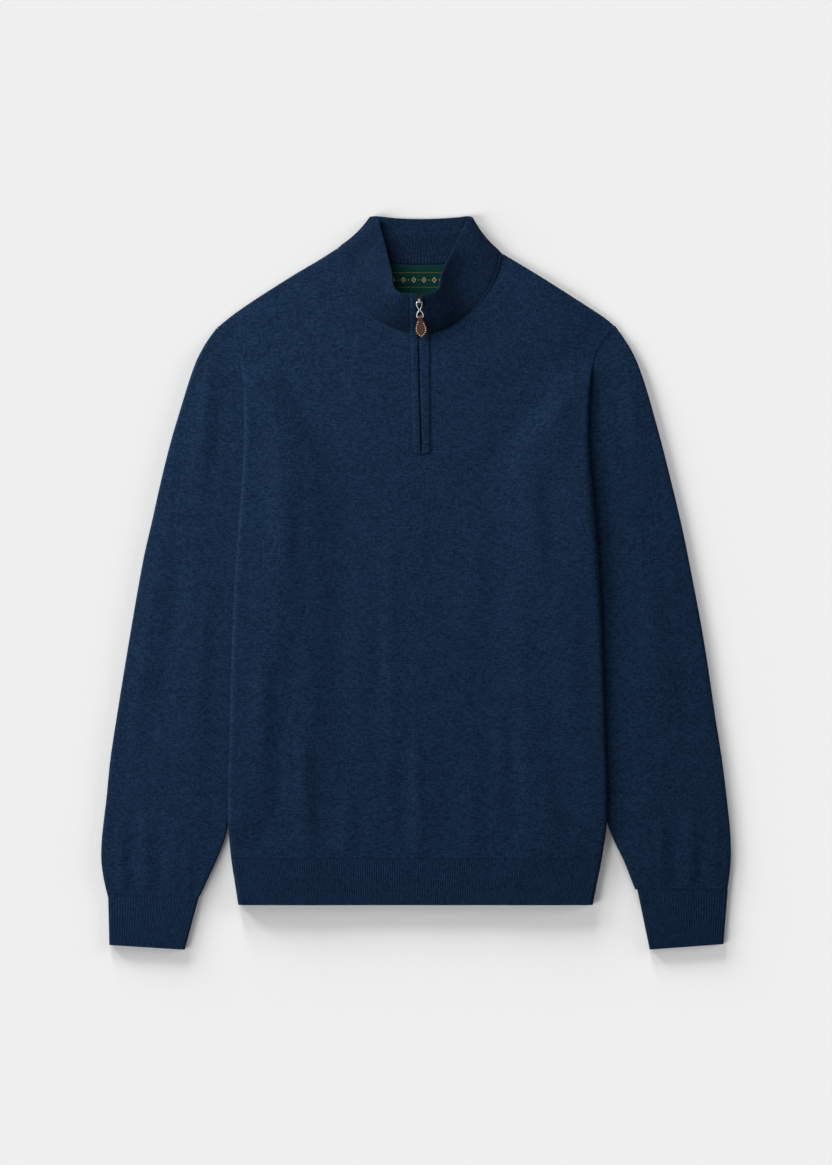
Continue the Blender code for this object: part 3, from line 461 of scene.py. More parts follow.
def shoulder_end(side, share):
    """Points on the shoulder's silhouette, and the unit directions out of it."""
    first = 2 * COLUMN[side] - 2
    table = [(i, *row[first:first + 2]) for i, row in enumerate(SHOULDER)]
    place = share * (len(table) - 1)
    before, after = np.clip([place - 0.28, place + 0.28], 0.0, len(table) - 1.0)
    run = [along(table, after, i) - along(table, before, i) for i in (1, 2)]
    long = np.hypot(*run)
    return along(table, place, 1), along(table, place, 2), -run[1] / long, run[0] / long


def roll_size(y):
    """Width and radius of the front's rounded edge along the armhole."""
    grown = smooth((UNDERARM + 34.0 - y) / 34.0)
    wide = mix(0.9, 3.4, grown) * (1.0 - smooth((y - SHOULDER_TIP + 10.0) / 9.0)) + 0.12
    return wide, wide * mix(1.0, 1.5 * LAYER / 3.4, grown)


def armhole_drop(side, y):
    """How far the sleeve head lies below the front's edge at the armhole."""
    raised = front_height(SIGN[side] * body_edge(side, y), y) - WALL / 2.0 - LAYER
    return raised * (1.0 - smooth((y - UNDERARM) / 45.0)) + 0.4


def armhole_roll(side, y):
    """Columns down the front's edge at the armhole, to the sleeve head."""
    wide, radius = roll_size(y)
    x = body_edge(side, y) - wide
    z = front_height(SIGN[side] * x, y)
    turn = np.linspace(0.0, math.pi / 2.0, TURN // 2 + 1)[1:]
    down = np.linspace(0.0, 1.0, TURN // 2 + 1)[1:]
    fall = np.maximum(armhole_drop(side, y) + 0.5, radius + 0.1) - radius
    x = SIGN[side] * np.concatenate([x + radius * np.sin(turn), x + radius + 0.0 * down], axis=1)
    z = np.concatenate([z - radius * (1.0 - np.cos(turn)), z - radius - fall * down], axis=1)
    return coords(x, y, z), coords(x, y)


def yoke(side, back):
    """Half of the panel above the underarm, out from the zip, and its place in the knit."""
    sign = SIGN[side]
    height = back_height if back else front_height
    edge, tip_edge = body_edge(side, UNDERARM), body_edge(side, SHOULDER_TIP)
    chest = chest_columns(side)
    neck_x, neck_y = neck_end(side, back)
    tip_x, tip_y, out_x, out_y = shoulder_end(side, np.linspace(0.0, 1.0, SHOULDER_COLUMNS))
    radius = (front_height(sign * tip_x, tip_y) - back_height(sign * tip_x, tip_y)) / 2.0
    inset = radius + WALL / 2.0 + (3.0 * SEAM if back else 0.0)
    x_end = np.concatenate([neck_x, tip_x - out_x * inset])
    y_end = np.concatenate([neck_y, tip_y - out_y * inset])
    step = np.linspace(0.0, 1.0, YOKE_ROWS + 1)[1:, None]
    y = mix(UNDERARM, y_end, step)
    shift = (body_edge(side, mix(UNDERARM, SHOULDER_TIP, step)) - edge) / (tip_edge - edge)
    x = mix(chest, x_end, mix(step, shift, smooth(2.0 * chest / edge - 1.0)))
    x[:, -1] = body_edge(side, y[:, -1])
    if not back:
        squeeze = 1.0 - roll_size(y[:, -1:])[0] / body_edge(side, y[:, -1:])
        x *= mix(1.0, squeeze, smooth(chest / 60.0))
    x[:, 0] = slot_edge(side, y[:, 0])
    grid = coords(sign * x, y, height(sign * x, y))
    knit = grid[..., :2].copy()
    if back:
        return grid, knit
    bend, out_x, out_y = (np.concatenate([np.full(NECK_COLUMNS, np.nan), part])
                          for part in (radius, out_x, out_y))
    for angle in np.linspace(0.0, math.pi, TURN + 1)[1:]:
        reach = bend * math.sin(angle)
        turned = coords(sign * out_x * reach, out_y * reach, bend * (math.cos(angle) - 1.0))
        grid = np.append(grid, [grid[YOKE_ROWS - 1] + turned], axis=0)
        knit = np.append(knit, [knit[YOKE_ROWS - 1] + coords(0.0 * bend, bend * angle)], axis=0)
    return grid, knit


def side_turn(side, y, back):
    """Rows round the side's fold and in along the folded part."""
    y = y[:, None]
    edge = body_edge(side, y)
    rise = puff(side, y) / 2.0
    radius = 0.5 * LAYER + 0.0 * y if back else 1.5 * LAYER + rise
    centre_x = edge - WALL / 2.0 - 1.5 * LAYER - rise
    centre_z = lift(SIGN[side] * (edge - 2.0), y) + WALL / 2.0 + 1.5 * LAYER
    centre_z = centre_z if back else centre_z + rise
    turn = np.linspace(0.0, math.pi, TURN + 1)
    in_x = mix(centre_x, edge - along(SIDE_FOLD, y, 1), np.arange(1, FOLD_COLUMNS + 1) / FOLD_COLUMNS)
    in_z = WALL / 2.0 + (LAYER if back else 0.0) + lift(SIGN[side] * in_x, y)
    x = SIGN[side] * np.concatenate([centre_x + radius * np.sin(turn), in_x], axis=1)
    z = np.concatenate([centre_z + radius * np.cos(turn), in_z], axis=1)
    u = SIGN[side] * np.concatenate([centre_x + radius * turn,
                                     2.0 * centre_x + radius * math.pi - in_x], axis=1)
    return coords(x, y, z), coords(u, y)


def flat_half(side, y, back):
    """Rows of one half that lie on top, out from the zip to just before the fold."""
    height = back_height if back else front_height
    chest = chest_columns(side)
    squeeze = (body_edge(side, y) - WALL / 2.0 - 1.5 * LAYER - puff(side, y) / 2.0) / chest[-1]
    x = chest[None, :-1] * mix(1.0, squeeze[:, None], smooth(chest[:-1] / 60.0))
    x[:, 0] = slot_edge(side, y)
    x, y = SIGN[side] * x, y[:, None]
    return coords(x, y, height(x, y)), coords(x, y)


def body_grid(back):
    """A whole panel from its shoulders down to the hem's seam, with the slot left open."""
    height = back_height if back else front_height
    y = np.concatenate([np.linspace(UNDERARM, SLOT_END, ARM_ROWS + 1),
                        np.linspace(SLOT_END, HEM_SEAM, BODY_ROWS + 1)[1:]])
    halves = []
    for side in ("left", "right"):
        above = yoke(side, back)
        round_side = side_turn(side, y, back)
        for part in round_side:
            part[0, 1:] = np.nan
        if back:
            armpit = SIGN[side] * body_edge(side, UNDERARM)
            round_side[0][0, 0] = (armpit, UNDERARM, height(armpit, UNDERARM))
        else:
            rolls = armhole_roll(side, np.append(above[0][:YOKE_ROWS, -1, 1], UNDERARM)[:, None])
            for part, roll in zip(round_side, rolls):
                part[0, 1:TURN + 1] = roll[-1]
            above = [np.concatenate([part, np.pad(roll[:-1], [(0, TURN), (0, 0), (0, 0)],
                                                  constant_values=np.nan)], axis=1)
                     for part, roll in zip(above, rolls)]
        for part, flat, turned in zip(above, flat_half(side, y, back), round_side):
            below = np.concatenate([flat, turned], axis=1)
            pad = [(0, 0), (0, below.shape[1] - part.shape[1]), (0, 0)]
            part = np.pad(part[::-1], pad, constant_values=np.nan)
            halves.append(np.concatenate([part, below]))
    left, left_knit, right, right_knit = halves
    share = np.arange(1, MIDDLE_COLUMNS + 1)[:, None] / (MIDDLE_COLUMNS + 1)
    middle = mix(left[:, :1], right[:, :1], share)
    if not back:
        middle[middle[..., 1] > SLOT_END + 0.01] = np.nan
    middle[..., 2] = height(middle[..., 0], middle[..., 1])
    return (np.concatenate([left[:, ::-1], middle, right], axis=1),
            np.concatenate([left_knit[:, ::-1], middle[..., :2], right_knit], axis=1))


def sheet_object(name, points, faces, knit, material, smooth_angle=50.0):
    """A mesh in millimetres, its place in the knit as a UV map in metres."""
    mesh = bpy.data.meshes.new(name)
    mesh.from_pydata(points.reshape(-1, 3) * MM, [], faces)
    layer = mesh.uv_layers.new(name="knit")
    corners = np.empty(len(mesh.loops), dtype=np.int32)
    mesh.loops.foreach_get("vertex_index", corners)
    place = knit.reshape(-1, 2)[corners] * MM
    layer.uv.foreach_set("vector", place.astype(np.float32).ravel())
    mesh.materials.append(material)
    mesh.shade_smooth()
    mesh.set_sharp_from_angle(angle=math.radians(smooth_angle))
    return add_object(name, mesh)


def between(a, b):
    """Faces between two lines of point numbers, or between two stacks of lines."""
    return np.stack([a[..., :-1], a[..., 1:], b[..., 1:], b[..., :-1]], axis=-1)


def cloth(name, grid, knit, material, thick=WALL):
    """A wall whose middle lies on a grid of points. A missing point leaves cloth out."""
    there = ~np.isnan(grid).any(axis=-1)
    number = np.cumsum(there.ravel()).reshape(there.shape) - 1
    whole = there[:-1, :-1] & there[1:, :-1] & there[1:, 1:] & there[:-1, 1:]
    faces = between(number[:-1], number[1:])[whole][:, [0, 3, 2, 1]]
    used = np.unique(faces)
    fresh = np.full(there.sum(), -1)
    fresh[used] = np.arange(len(used))
    made = sheet_object(name, grid[there][used], fresh[faces].tolist(), knit[there][used],
                        material)
    wall = made.modifiers.new("wall", "SOLIDIFY")
    wall.thickness = thick * MM
    wall.offset = 0.0
    wall.use_even_offset = True
    bpy.context.view_layer.update()
    solid = bpy.data.meshes.new_from_object(
        made.evaluated_get(bpy.context.evaluated_depsgraph_get()))
    made.modifiers.clear()
    made.data = solid
    solid.set_sharp_from_angle(angle=math.radians(50.0))
    return made


class Thread:
    """A shader socket whose numbers can be used in plain arithmetic."""

    def __init__(self, socket):
        self.socket = socket

    @staticmethod
    def node(tree, kind, settings=None, sockets=None, output=0):
        """Adds a node, with its settings and the values or links of its sockets."""
        made = tree.nodes.new(kind)
        for name, value in (settings or {}).items():
            setattr(made, name, value)
        for name, value in (sockets or {}).items():
            if isinstance(value, Thread):
                tree.links.new(value.socket, made.inputs[name])
            else:
                made.inputs[name].default_value = value
        return Thread(made.outputs[output])

    def math(self, operation, *others, clamp=False):
        settings = {"operation": operation, "use_clamp": clamp}
        return Thread.node(self.socket.id_data, "ShaderNodeMath", settings,
                           dict(enumerate((self, *others))))

    def __add__(self, other):
        return self.math("ADD", other)

    __radd__ = __add__

    def __sub__(self, other):
        return self.math("SUBTRACT", other)

    def __rsub__(self, other):
        return (self * -1.0) + other

    def __mul__(self, other):
        return self.math("MULTIPLY", other)

    __rmul__ = __mul__

    def __truediv__(self, other):
        return self.math("DIVIDE", other)

    def __pow__(self, other):
        return self.math("POWER", other)

    def tent(self):
        """0 at whole numbers and 1 half way between them."""
        return 1.0 - (self.math("FRACT") - 0.5).math("ABSOLUTE") * 2.0

    def held(self):
        """The same number, kept from 0 to 1."""
        return self.math("ADD", 0.0, clamp=True)

    def part(self, output):
        """One coordinate of a place."""
        return Thread.node(self.socket.id_data, "ShaderNodeSeparateXYZ", None, {0: self}, output)


def surface(name, roughness, **constants):
    """A new material, with constants on its shader's sockets, and its nodes."""
    made = bpy.data.materials.new(name)
    made.use_nodes = True
    shader = made.node_tree.nodes["Principled BSDF"]
    shader.inputs["Roughness"].default_value = roughness
    for socket, value in constants.items():
        shader.inputs[socket.replace("_", " ")].default_value = value
    return made, made.node_tree


def knit_place(tree):
    return Thread.node(tree, "ShaderNodeUVMap", {"uv_map": "knit"})


def clad(made, colour, roughness=None, height=None, strength=0.5, distance=0.0002):
    """Links a material's colour and roughness, and a bump of some height in metres."""
    shader = made.node_tree.nodes["Principled BSDF"]
    values = {"Base Color": colour, "Roughness": roughness}
    if height:
        values["Normal"] = Thread.node(made.node_tree, "ShaderNodeBump", None,
                                       {"Strength": strength, "Distance": distance, "Height": height})
    for socket, value in values.items():
        if value:
            made.node_tree.links.new(value.socket, shader.inputs[socket])
    return made


def blend_colour(share, *colours):
    """A colour between two, each of them three numbers or a colour of this kind."""
    first, second = (part if isinstance(part, Thread) else (*part, 1.0) for part in colours)
    return Thread.node(share.socket.id_data, "ShaderNodeMix", {"data_type": "RGBA"},
                       {0: share, 6: first, 7: second}, output=2)


def noise(tree, scale, detail=2.0, **sockets):
    return Thread.node(tree, "ShaderNodeTexNoise", None,
                       {"Scale": scale, "Detail": detail, **sockets})


def knitted(name, dark, light, wale, course, groove_shade, streak=1.0, rib=None, clear=None):
    """Wool knit: columns of V stitches in a melange of two shades of yarn.

    wale and course are the width and height of a stitch in metres, groove_shade is how
    much painted shade darkens the gaps between the wales, rib is the width of a rib where
    there are ribs, and clear gives the painted shade in the gaps between the ribs, from the
    height up the knit.
    """
    made, tree = surface(name, 0.88, Specular_IOR_Level=0.06, Sheen_Weight=0.04,
                         Sheen_Roughness=0.45, Sheen_Tint=(0.62, 0.76, 1.0, 1.0))
    place = knit_place(tree)
    across, up = place.part(0), place.part(1)
    column = across / wale
    row = up / course + (1.0 - column.tent()) * 0.6
    stitch = (column * 2.0).tent() * (0.55 + row.tent() * 0.45)

    def pair(x, y):
        return Thread.node(tree, "ShaderNodeCombineXYZ", None, {0: x, 1: y})

    def grain(u_scale, v_scale, detail):
        return noise(tree, 1.0, detail, Vector=pair(across * u_scale, up * v_scale), Roughness=0.6)

    each = Thread.node(tree, "ShaderNodeTexWhiteNoise", {"noise_dimensions": "2D"},
                       {0: pair(column.math("FLOOR"), row.math("FLOOR"))})
    streaks, clouds = grain(130.0, 640.0, 3.0), grain(28.0, 60.0, 2.0)
    fibre = grain(2600.0, 2600.0, 2.0)
    shade = (0.5 + (streaks - 0.5) * (2.0 * streak) + (each - 0.5) * 0.8
             + (clouds - 0.5) * 0.45).held()
    # painted shade: the gaps between the wales, and between the ribs where there are ribs, are
    # darkened towards a dark shade of the yarn
    depth = (1.0 - stitch) * groove_shade
    if rib:
        depth = depth * 0.6 + (1.0 - (across / rib).tent()) ** 2.0 * (clear(up) if clear else 0.36)
    colour = blend_colour(depth.held(), blend_colour(shade, dark, light),
                          [part * 0.45 for part in dark])
    return clad(made, colour, 0.78 + fibre * 0.18, stitch + fibre * 0.35 + (streaks - 0.5) * 0.5,
                0.55, 0.00035)


YARN_DARK = (0.0042, 0.0145, 0.0395)
YARN_LIGHT = (0.0134, 0.0398, 0.0925)
plain_knit = knitted("plain knit", YARN_DARK, YARN_LIGHT, 0.0021, 0.0015, 0.5)

front = cloth("front_panel", *body_grid(back=False), plain_knit)
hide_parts("front")
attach(front, "sweater")


# ---- The back panel ----
# The same knit, cut whole. Its sides are folded in between the front's, and it lies on the
# table from the yoke to the hem, over the sleeves at its sides.

back = cloth("back_panel", *body_grid(back=True), plain_knit)
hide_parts("back")
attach(back, "sweater")


# ---- The sleeves ----
# Each is one piece of the plain knit, folded round the arm and closed by a seam below. Its
# head is sewn into the armhole, and further down its inner edge lies under the body.

REST = 0.73                 # middle of the lowest layer above the table
SLEEVE_LOFT = 2.2
RETURN = 15.0               # how far the inner edge runs on below, to the underarm seam
SLANT = math.radians(10.5)  # of the wales, which run down the arm
HEAD_ROWS = 24
ARM_LENGTH_ROWS = 165
TOP_COLUMNS = 36
UNDER_COLUMNS = 10
CUFF_SEAM = {"left": -335.4, "right": -328.0}

# Outer edge of the sleeve head, from the shoulder tip to the first row of SLEEVE
SLEEVE_HEAD = (
    # y,    left,  right
    (271, 213.6, 214.9),
    (268, 216.2, 217.4),
    (261.6, 220.9, 221.9),
    (255.2, 225.1, 225.9),
    (248.8, 228.8, 229.9),
    (242.4, 232.2, 233.2),
    (235.9, 235.2, 236.2),
    (222, 240.4, 241.4),
    (208, 245, 246),
)

SLEEVE_CREASES = (
    # points,                                                half width, height, slack
    (((-217, 252), (-226, 175), (-235, 84)), 9, 1.2, 0.4),
    (((-206, 205), (-214, 140), (-220, 70)), 7, -0.8, 0.45),
    (((-262, 92), (-284, -20), (-296, -130), (-301, -215)), 10, 1.3, 0.35),
    (((-243, 60), (-262, -60), (-272, -180)), 11, -1.1, 0.4),
    (((-218, 20), (-232, -110), (-236, -230)), 9, 1, 0.4),
    (((-306, 20), (-280, -6), (-246, -18)), 10, 0.7, 0.5),
    (((-318, -95), (-292, -128), (-252, -140)), 9, -0.7, 0.5),
    (((-317, -250), (-313, -338)), 6, 1.1, 0.35),
    (((-304, -270), (-301, -338)), 5, -0.9, 0.35),
    (((-291, -236), (-288, -338)), 6.5, 1.3, 0.3),
    (((-274, -262), (-273, -338)), 5.5, -0.9, 0.35),
    (((-259, -248), (-258, -338)), 6, 1.1, 0.35),
    (((-243, -276), (-245, -338)), 5, 0.9, 0.4),
    (((222, 250), (234, 190), (243, 128)), 9, 1.2, 0.4),
    (((210, 215), (219, 160), (229, 84)), 7, -0.9, 0.45),
    (((266, 96), (286, -10), (299, -140)), 10, 0.9, 0.45),
    (((240, 50), (258, -70), (266, -200)), 12, 1.1, 0.4),
    (((282, 10), (285, -90), (289, -205)), 10, -0.9, 0.45),
    (((309, 30), (286, 6), (250, -4)), 10, 0.6, 0.5),
    (((322, -130), (296, -152), (260, -158)), 9, -0.6, 0.5),
    (((321, -240), (318, -331)), 6, 1.2, 0.35),
    (((306, -262), (304, -331)), 5.5, -0.9, 0.35),
    (((293, -228), (292, -331)), 6.5, 1.2, 0.3),
    (((278, -258), (277, -331)), 5.5, -0.8, 0.35),
    (((263, -244), (262, -331)), 6, 1.2, 0.35),
    (((249, -272), (251, -331)), 5, 0.8, 0.4),
)


def sleeve_outer(side, y):
    return np.where(y >= UNDERARM, along(SLEEVE_HEAD, y, COLUMN[side]),
                    along(SLEEVE, y, 2 * COLUMN[side]))


def sleeve_top(side, x, y):
    """Middle of the sleeve's upper layer, x measured out from X = 0."""
    sign = SIGN[side]
    edge = body_edge(side, y)
    loft = SLEEVE_LOFT * smooth((x - edge - 4.0) / 46.0)
    loft *= mix(0.5, 1.0, smooth((y - CUFF_SEAM[side]) / 22.0))
    raised = front_height(sign * edge, y) - WALL / 2.0 - LAYER
    near = (smooth((y - UNDERARM) / 4.0) * (raised - armhole_drop(side, y))
            * (1.0 - smooth((x - edge) / 28.0)))
    fade = smooth((x - edge - 5.0) / 20.0) * smooth((sleeve_outer(side, y) - x - 5.0) / 18.0)
    drape = creases(SLEEVE_CREASES, sign * x, y) + ripple(sign * x, y, 8, 90.0, 0.3)
    return REST + LAYER + loft + np.maximum(near, -0.4) + np.maximum(drape * fade, -loft)


def sleeve_grid(side):
    """Rows down the arm, each from the underarm seam out, over the top and back."""
    head_top = yoke(side, back=True)[0][-1, -1, 1]
    y = np.concatenate([np.linspace(head_top, UNDERARM, HEAD_ROWS + 1),
                        np.linspace(UNDERARM, CUFF_SEAM[side], ARM_LENGTH_ROWS + 1)[1:]])[:, None]
    tucked = y < UNDERARM
    x_in, x_out = sleeve_inner(side, y), sleeve_outer(side, y)
    radius = (sleeve_top(side, x_out - 3.0, y) - REST) / 2.0
    turn_x = x_out - WALL / 2.0 - radius
    radius_in = (sleeve_top(side, x_in + 3.0, y) - REST) / 2.0
    turn_in = np.where(tucked, x_in + WALL / 2.0 + radius_in, x_in)
    seam_x = turn_in + np.where(tucked, RETURN, 0.0)
    turn = np.linspace(0.0, math.pi, TURN + 1)
    under = mix(seam_x, turn_x, np.arange(UNDER_COLUMNS) / UNDER_COLUMNS)
    top = mix(turn_x, turn_in, np.arange(1, TOP_COLUMNS + 1) / TOP_COLUMNS)
    top_z = sleeve_top(side, top, y)
    top_z[:, -1:] = np.where(tucked, REST + 2.0 * radius_in, top_z[:, -1:])
    only = np.where(tucked, 0.0, np.nan)
    x = np.concatenate([under, turn_x + radius * np.sin(turn), top,
                        turn_in - radius_in * np.sin(turn[1:]) + only, seam_x - SEAM + only], axis=1)
    z = np.concatenate([np.full(under.shape, REST), REST + radius * (1.0 - np.cos(turn)), top_z,
                        REST + radius_in * (1.0 + np.cos(turn[1:])), 0.0 * y + REST], axis=1)
    flat = np.concatenate([2.0 * turn_x + math.pi * radius - under,
                           turn_x + radius * (math.pi - turn), top,
                           turn_in - radius_in * turn[1:],
                           2.0 * turn_in - math.pi * radius_in - seam_x], axis=1)
    return coords(SIGN[side] * x, y, z), coords(flat * math.cos(SLANT) + y * math.sin(SLANT),
                                                y * math.cos(SLANT) - flat * math.sin(SLANT))


for side in ("left", "right"):
    sleeve = cloth("sleeve_" + side + "_knit", *sleeve_grid(side), plain_knit)
    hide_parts("sleeve_" + side)
    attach(sleeve, "sweater")


# ---- The cuffs ----
# A tube of one-and-one rib, knitted on to each sleeve and lying flat. The ribs stand up from
# the wall, and the side on the table is plain.

RIB_HEIGHT = 0.42
RIB_STEPS = 6               # points across a rib
RIB_MAP = 2.8               # one rib's width in the knit's map
CUFF_RIB = 3.0
CUFF_AIR = 0.9              # between the two layers of a cuff
CUFF_ROWS = 18
CUFF_UNDER = 27             # points across the side on the table

# Corners of the cuffs, out from X = 0 and along Y
CUFF = {
    "left": ((232.0, 329.2, -335.7, -335.7), (247.2, 328.0, -392.5, -387.4)),
    "right": ((236.6, 333.4, -328.3, -328.3), (249.8, 328.8, -392.3, -386.5)),
}


def rib_rise(place):
    """Height of the rib's round back, 0 in the gaps at whole numbers."""
    return np.abs(np.sin(math.pi * place)) ** 0.6


def ribbed(name, rows, sign=1.0, closed=False):
    """A ribbed wall through rows across the garment: both its skins and its edges.

    A row has its x, y and z, its lift, the ridge on its outside, and its place in ribs.
    """
    outer, inner, knit = [], [], []
    for x, y, z, rise, ridge, ribs in rows:
        if closed:
            run_x, run_z = (np.roll(part, -1) - np.roll(part, 1) for part in (x, z))
        else:
            run_x, run_z = np.gradient(x), np.gradient(z)
        long = np.hypot(run_x, run_z)
        for skin, far in ((outer, WALL / 2.0 + ridge), (inner, -WALL / 2.0)):
            skin.append(coords(sign * (x - run_z / long * far), y, z + run_x / long * far + rise))
        knit.append(coords(ribs * RIB_MAP, y))
    points = np.array([outer, inner])
    number = np.arange(points[..., 0].size).reshape(points.shape[:3])
    if closed:
        number = np.concatenate([number, number[..., :1]], axis=2)
    out, within = (between(n[:-1], n[1:])[..., [0, 3, 2, 1]].reshape(-1, 4) for n in number)
    faces = [out, within[:, ::-1], between(*number[:, 0]), between(*number[:, -1])[:, ::-1]]
    if not closed:
        faces += [between(*number[..., 0])[:, ::-1], between(*number[..., -1])]
    return sheet_object(name, points, np.concatenate(faces).tolist(), np.array([knit, knit]),
                        rib_knit)


def cuff_rows(side):
    top, end = CUFF[side]
    ribs = round((top[1] - top[0]) / CUFF_RIB)
    radius = (LAYER + CUFF_AIR) / 2.0
    inset = radius + WALL / 2.0
    turn = np.linspace(0.0, math.pi, TURN + 2)[1:-1]
    on_top = np.linspace(0.0, 1.0, RIB_STEPS * ribs + 1)
    below = np.linspace(1.0, 0.0, CUFF_UNDER)
    z = radius + radius * np.concatenate([0.0 * on_top + 1.0, np.cos(turn),
                                          0.0 * below - 1.0, -np.cos(turn)])
    spare = len(z) - len(on_top)
    flow = np.concatenate([on_top * ribs, ribs + np.arange(1, spare + 1) / 3.0])
    ridge = np.pad(RIB_HEIGHT * rib_rise(on_top * ribs), (0, spare))
    for share in np.linspace(0.0, 1.0, CUFF_ROWS):
        x_in, x_out, y_in, y_out = (mix(a, b, share) for a, b in zip(top, end))
        start, stop = x_in + inset, x_out - inset
        x = np.concatenate([mix(start, stop, on_top), stop + radius * np.sin(turn),
                            mix(start, stop, below), start - radius * np.sin(turn)])
        swell = smooth(np.minimum(x - start, stop - x) / 15.0) * (z > radius)
        rise = WALL / 2.0 + 0.03 + 0.5 * math.sin(math.pi * share) * swell
        yield x, mix(y_in, y_out, (x - x_in) / (x_out - x_in)), z, rise, ridge, flow


rib_knit = knitted("rib knit", YARN_DARK, YARN_LIGHT, 0.0014, 0.0016, 0.5, streak=0.5, rib=0.0028)

for side in ("left", "right"):
    ring = ribbed("cuff_" + side + "_rib", cuff_rows(side), SIGN[side], closed=True)
    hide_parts("cuff_" + side)
    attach(ring, "sweater")


# ---- The hem band ----
# Ribbed like the cuffs and linked on to the body, front and back. The front's band turns
# round the sides with the panel above it, and the back's lies inside it.

HEM_RIB = 2.5
HEM_ROWS = 16


def hem_rows(back):
    """Rows from one folded edge to the other, with ridges on the front alone."""
    y_rows = np.linspace(HEM_SEAM - SEAM, HEM_END, HEM_ROWS)
    left, right = (side_turn(side, y_rows, back)[0] for side in ("left", "right"))
    ribs = round((right[0, 0, 0] - left[0, 0, 0]) / HEM_RIB)
    share = np.linspace(0.0, 1.0, (2 if back else RIB_STEPS) * ribs + 1)[1:-1]
    spare = np.arange(1, left.shape[1] + 1)
    flow = np.concatenate([-spare[::-1], share * ribs, ribs + spare])
    ridge = np.pad(0.0 * share if back else RIB_HEIGHT * rib_rise(share * ribs), len(spare))
    for start, stop, y in zip(left, right, y_rows):
        x = mix(start[0, 0], stop[0, 0], share)
        height = back_height(x, y) if back else front_height(x, y)
        yield (np.concatenate([start[::-1, 0], x, stop[:, 0]]), y,
               np.concatenate([start[::-1, 2], height, stop[:, 2]]), 0.0, ridge, flow)


for name, back, under in (("hem_front", False, "hem_back_rib"), ("hem_back", True, "table")):
    band = ribbed(name + "_rib", hem_rows(back))
    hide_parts(name)
    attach(band, "sweater")


# ---- The collar ----
# A doubled, ribbed stand collar, folded at its top edge and linked on to the neckline. Its
# front stands up to the slider, and its back lies flat.

COLLAR_WALL = 2.4
COLLAR_RIB = 2.8
COLLAR_RISE = (0.14, 0.26)  # height of the ribs outside and inside
COLLAR_ROWS = 26
COLLAR_INNER_ROWS = 18
COLLAR_MAP = (46.0, 96.0)   # the top edge and the inner seam, up the knit's map
PLAIN_TOP = 16.0            # smooth band inside the top edge
FLARE = 5.0                 # height over which the wall thins down to its seam

# Creases of the collar, by the place round it and the height up it
COLLAR_CREASES = (
    # place, height, half place, half height, depth
    (22.3, 0.62, 1.15, 0.36, -2.4),
    (3.4, 0.45, 1.3, 0.30, 0.9),
    (5.6, 0.55, 0.9, 0.42, -1.0),
    (20.2, 0.50, 0.8, 0.42, 0.9),
    (1.3, 0.72, 0.7, 0.22, -0.6),
    (24.6, 0.42, 0.7, 0.26, 0.7),
)

# Where the top edge leans, in rounder folds at its corners and over the label
COLLAR_LEAN = (
    # place, half place, x, y
    (7.2, 0.75, 4.2, 1.2),
    (3.1, 1.0, 2.5, 0.0),
    (8.0, 0.5, -1.8, -1.2),
    (18.0, 0.5, 0.4, -1.2),
)


def collar_point(place, height, out=0.0):
    """Points of the collar, height 0 at the seam and 1 at the top edge, with its outside."""
    arch = 4.0 * height * (1.0 - height)

    def flat(at):
        row = catmull(COLLAR, np.clip(at, 0.0, len(COLLAR) - 1.0))
        seam, edge = row[:, 0:3], row[:, 3:6]
        for middle, half_wide, x, y in COLLAR_LEAN:
            edge = edge + np.exp(-((at - middle) / half_wide) ** 2)[:, None] * (x, y, 0.0)
        rise = edge - seam
        inward = unit(coords(rise[:, 1], -rise[:, 0], 0.0))
        point = seam + rise * height + inward * row[:, 7:8] * arch
        point[:, 2] = np.maximum(point[:, 2], COLLAR_WALL / 2.0)
        return point, rise, row[:, 6]

    point, rise, bulge = flat(place)
    normal = unit(np.cross(rise, flat(place + 0.15)[0] - flat(place - 0.15)[0]))
    swell = bulge * arch
    for at, level, wide, tall, depth in COLLAR_CREASES:
        swell += depth * np.exp(-((place - at) / wide) ** 2 - ((height - level) / tall) ** 2)
    return point + normal * (swell + out)[:, None], normal, rise


def collar_places(steps):
    """Places round the collar, a number of steps for each rib, even along its middle."""
    fine = np.linspace(0.0, len(COLLAR) - 1.0, 1400)
    run = lengths(collar_point(fine, 0.5)[0])
    ribs = round(run[-1] / COLLAR_RIB)
    return np.interp(np.linspace(0.0, run[-1], ribs * steps + 1), run, fine), ribs


def collar_skin():
    """One skin: up the outside, over the fold and down the inside, and its map."""
    places, ribs = collar_places(RIB_STEPS)
    ridge = rib_rise(np.linspace(0.0, ribs, len(places)))
    half = COLLAR_WALL / 2.0
    tall = np.linalg.norm(collar_point(places, 1.0)[2], axis=1)
    fold = 1.0 - half / np.mean(tall)
    rows = []
    for share in np.linspace(0.0, 1.0, COLLAR_ROWS):
        rise = COLLAR_RISE[0] * ridge * smooth((1.0 - share) * np.mean(tall) / 4.0)
        flare = mix(0.15, 1.0, smooth(share * fold * np.mean(tall) / FLARE))
        rows.append((collar_point(places, share * fold, half * flare + rise)[0],
                     share * fold * COLLAR_MAP[0]))
    middle, normal, rise = collar_point(places, fold)
    for angle in np.linspace(0.0, math.pi, 9)[1:-1]:
        away = normal * math.cos(angle) + rise / tall[:, None] * math.sin(angle)
        rows.append((middle + half * away, COLLAR_MAP[0] + 1.2 * angle))
    for share in np.linspace(1.0, 0.0, COLLAR_INNER_ROWS):
        rise = COLLAR_RISE[1] * ridge * smooth(((1.0 - share) * np.mean(tall) - PLAIN_TOP) / 3.0)
        rows.append((collar_point(places, share * fold, -half - rise)[0],
                     COLLAR_MAP[1] - share * fold * COLLAR_MAP[0]))
    u = np.linspace(0.0, ribs * RIB_MAP, len(places))
    return np.array([row for row, _ in rows]), np.array([coords(u, v) for _, v in rows])


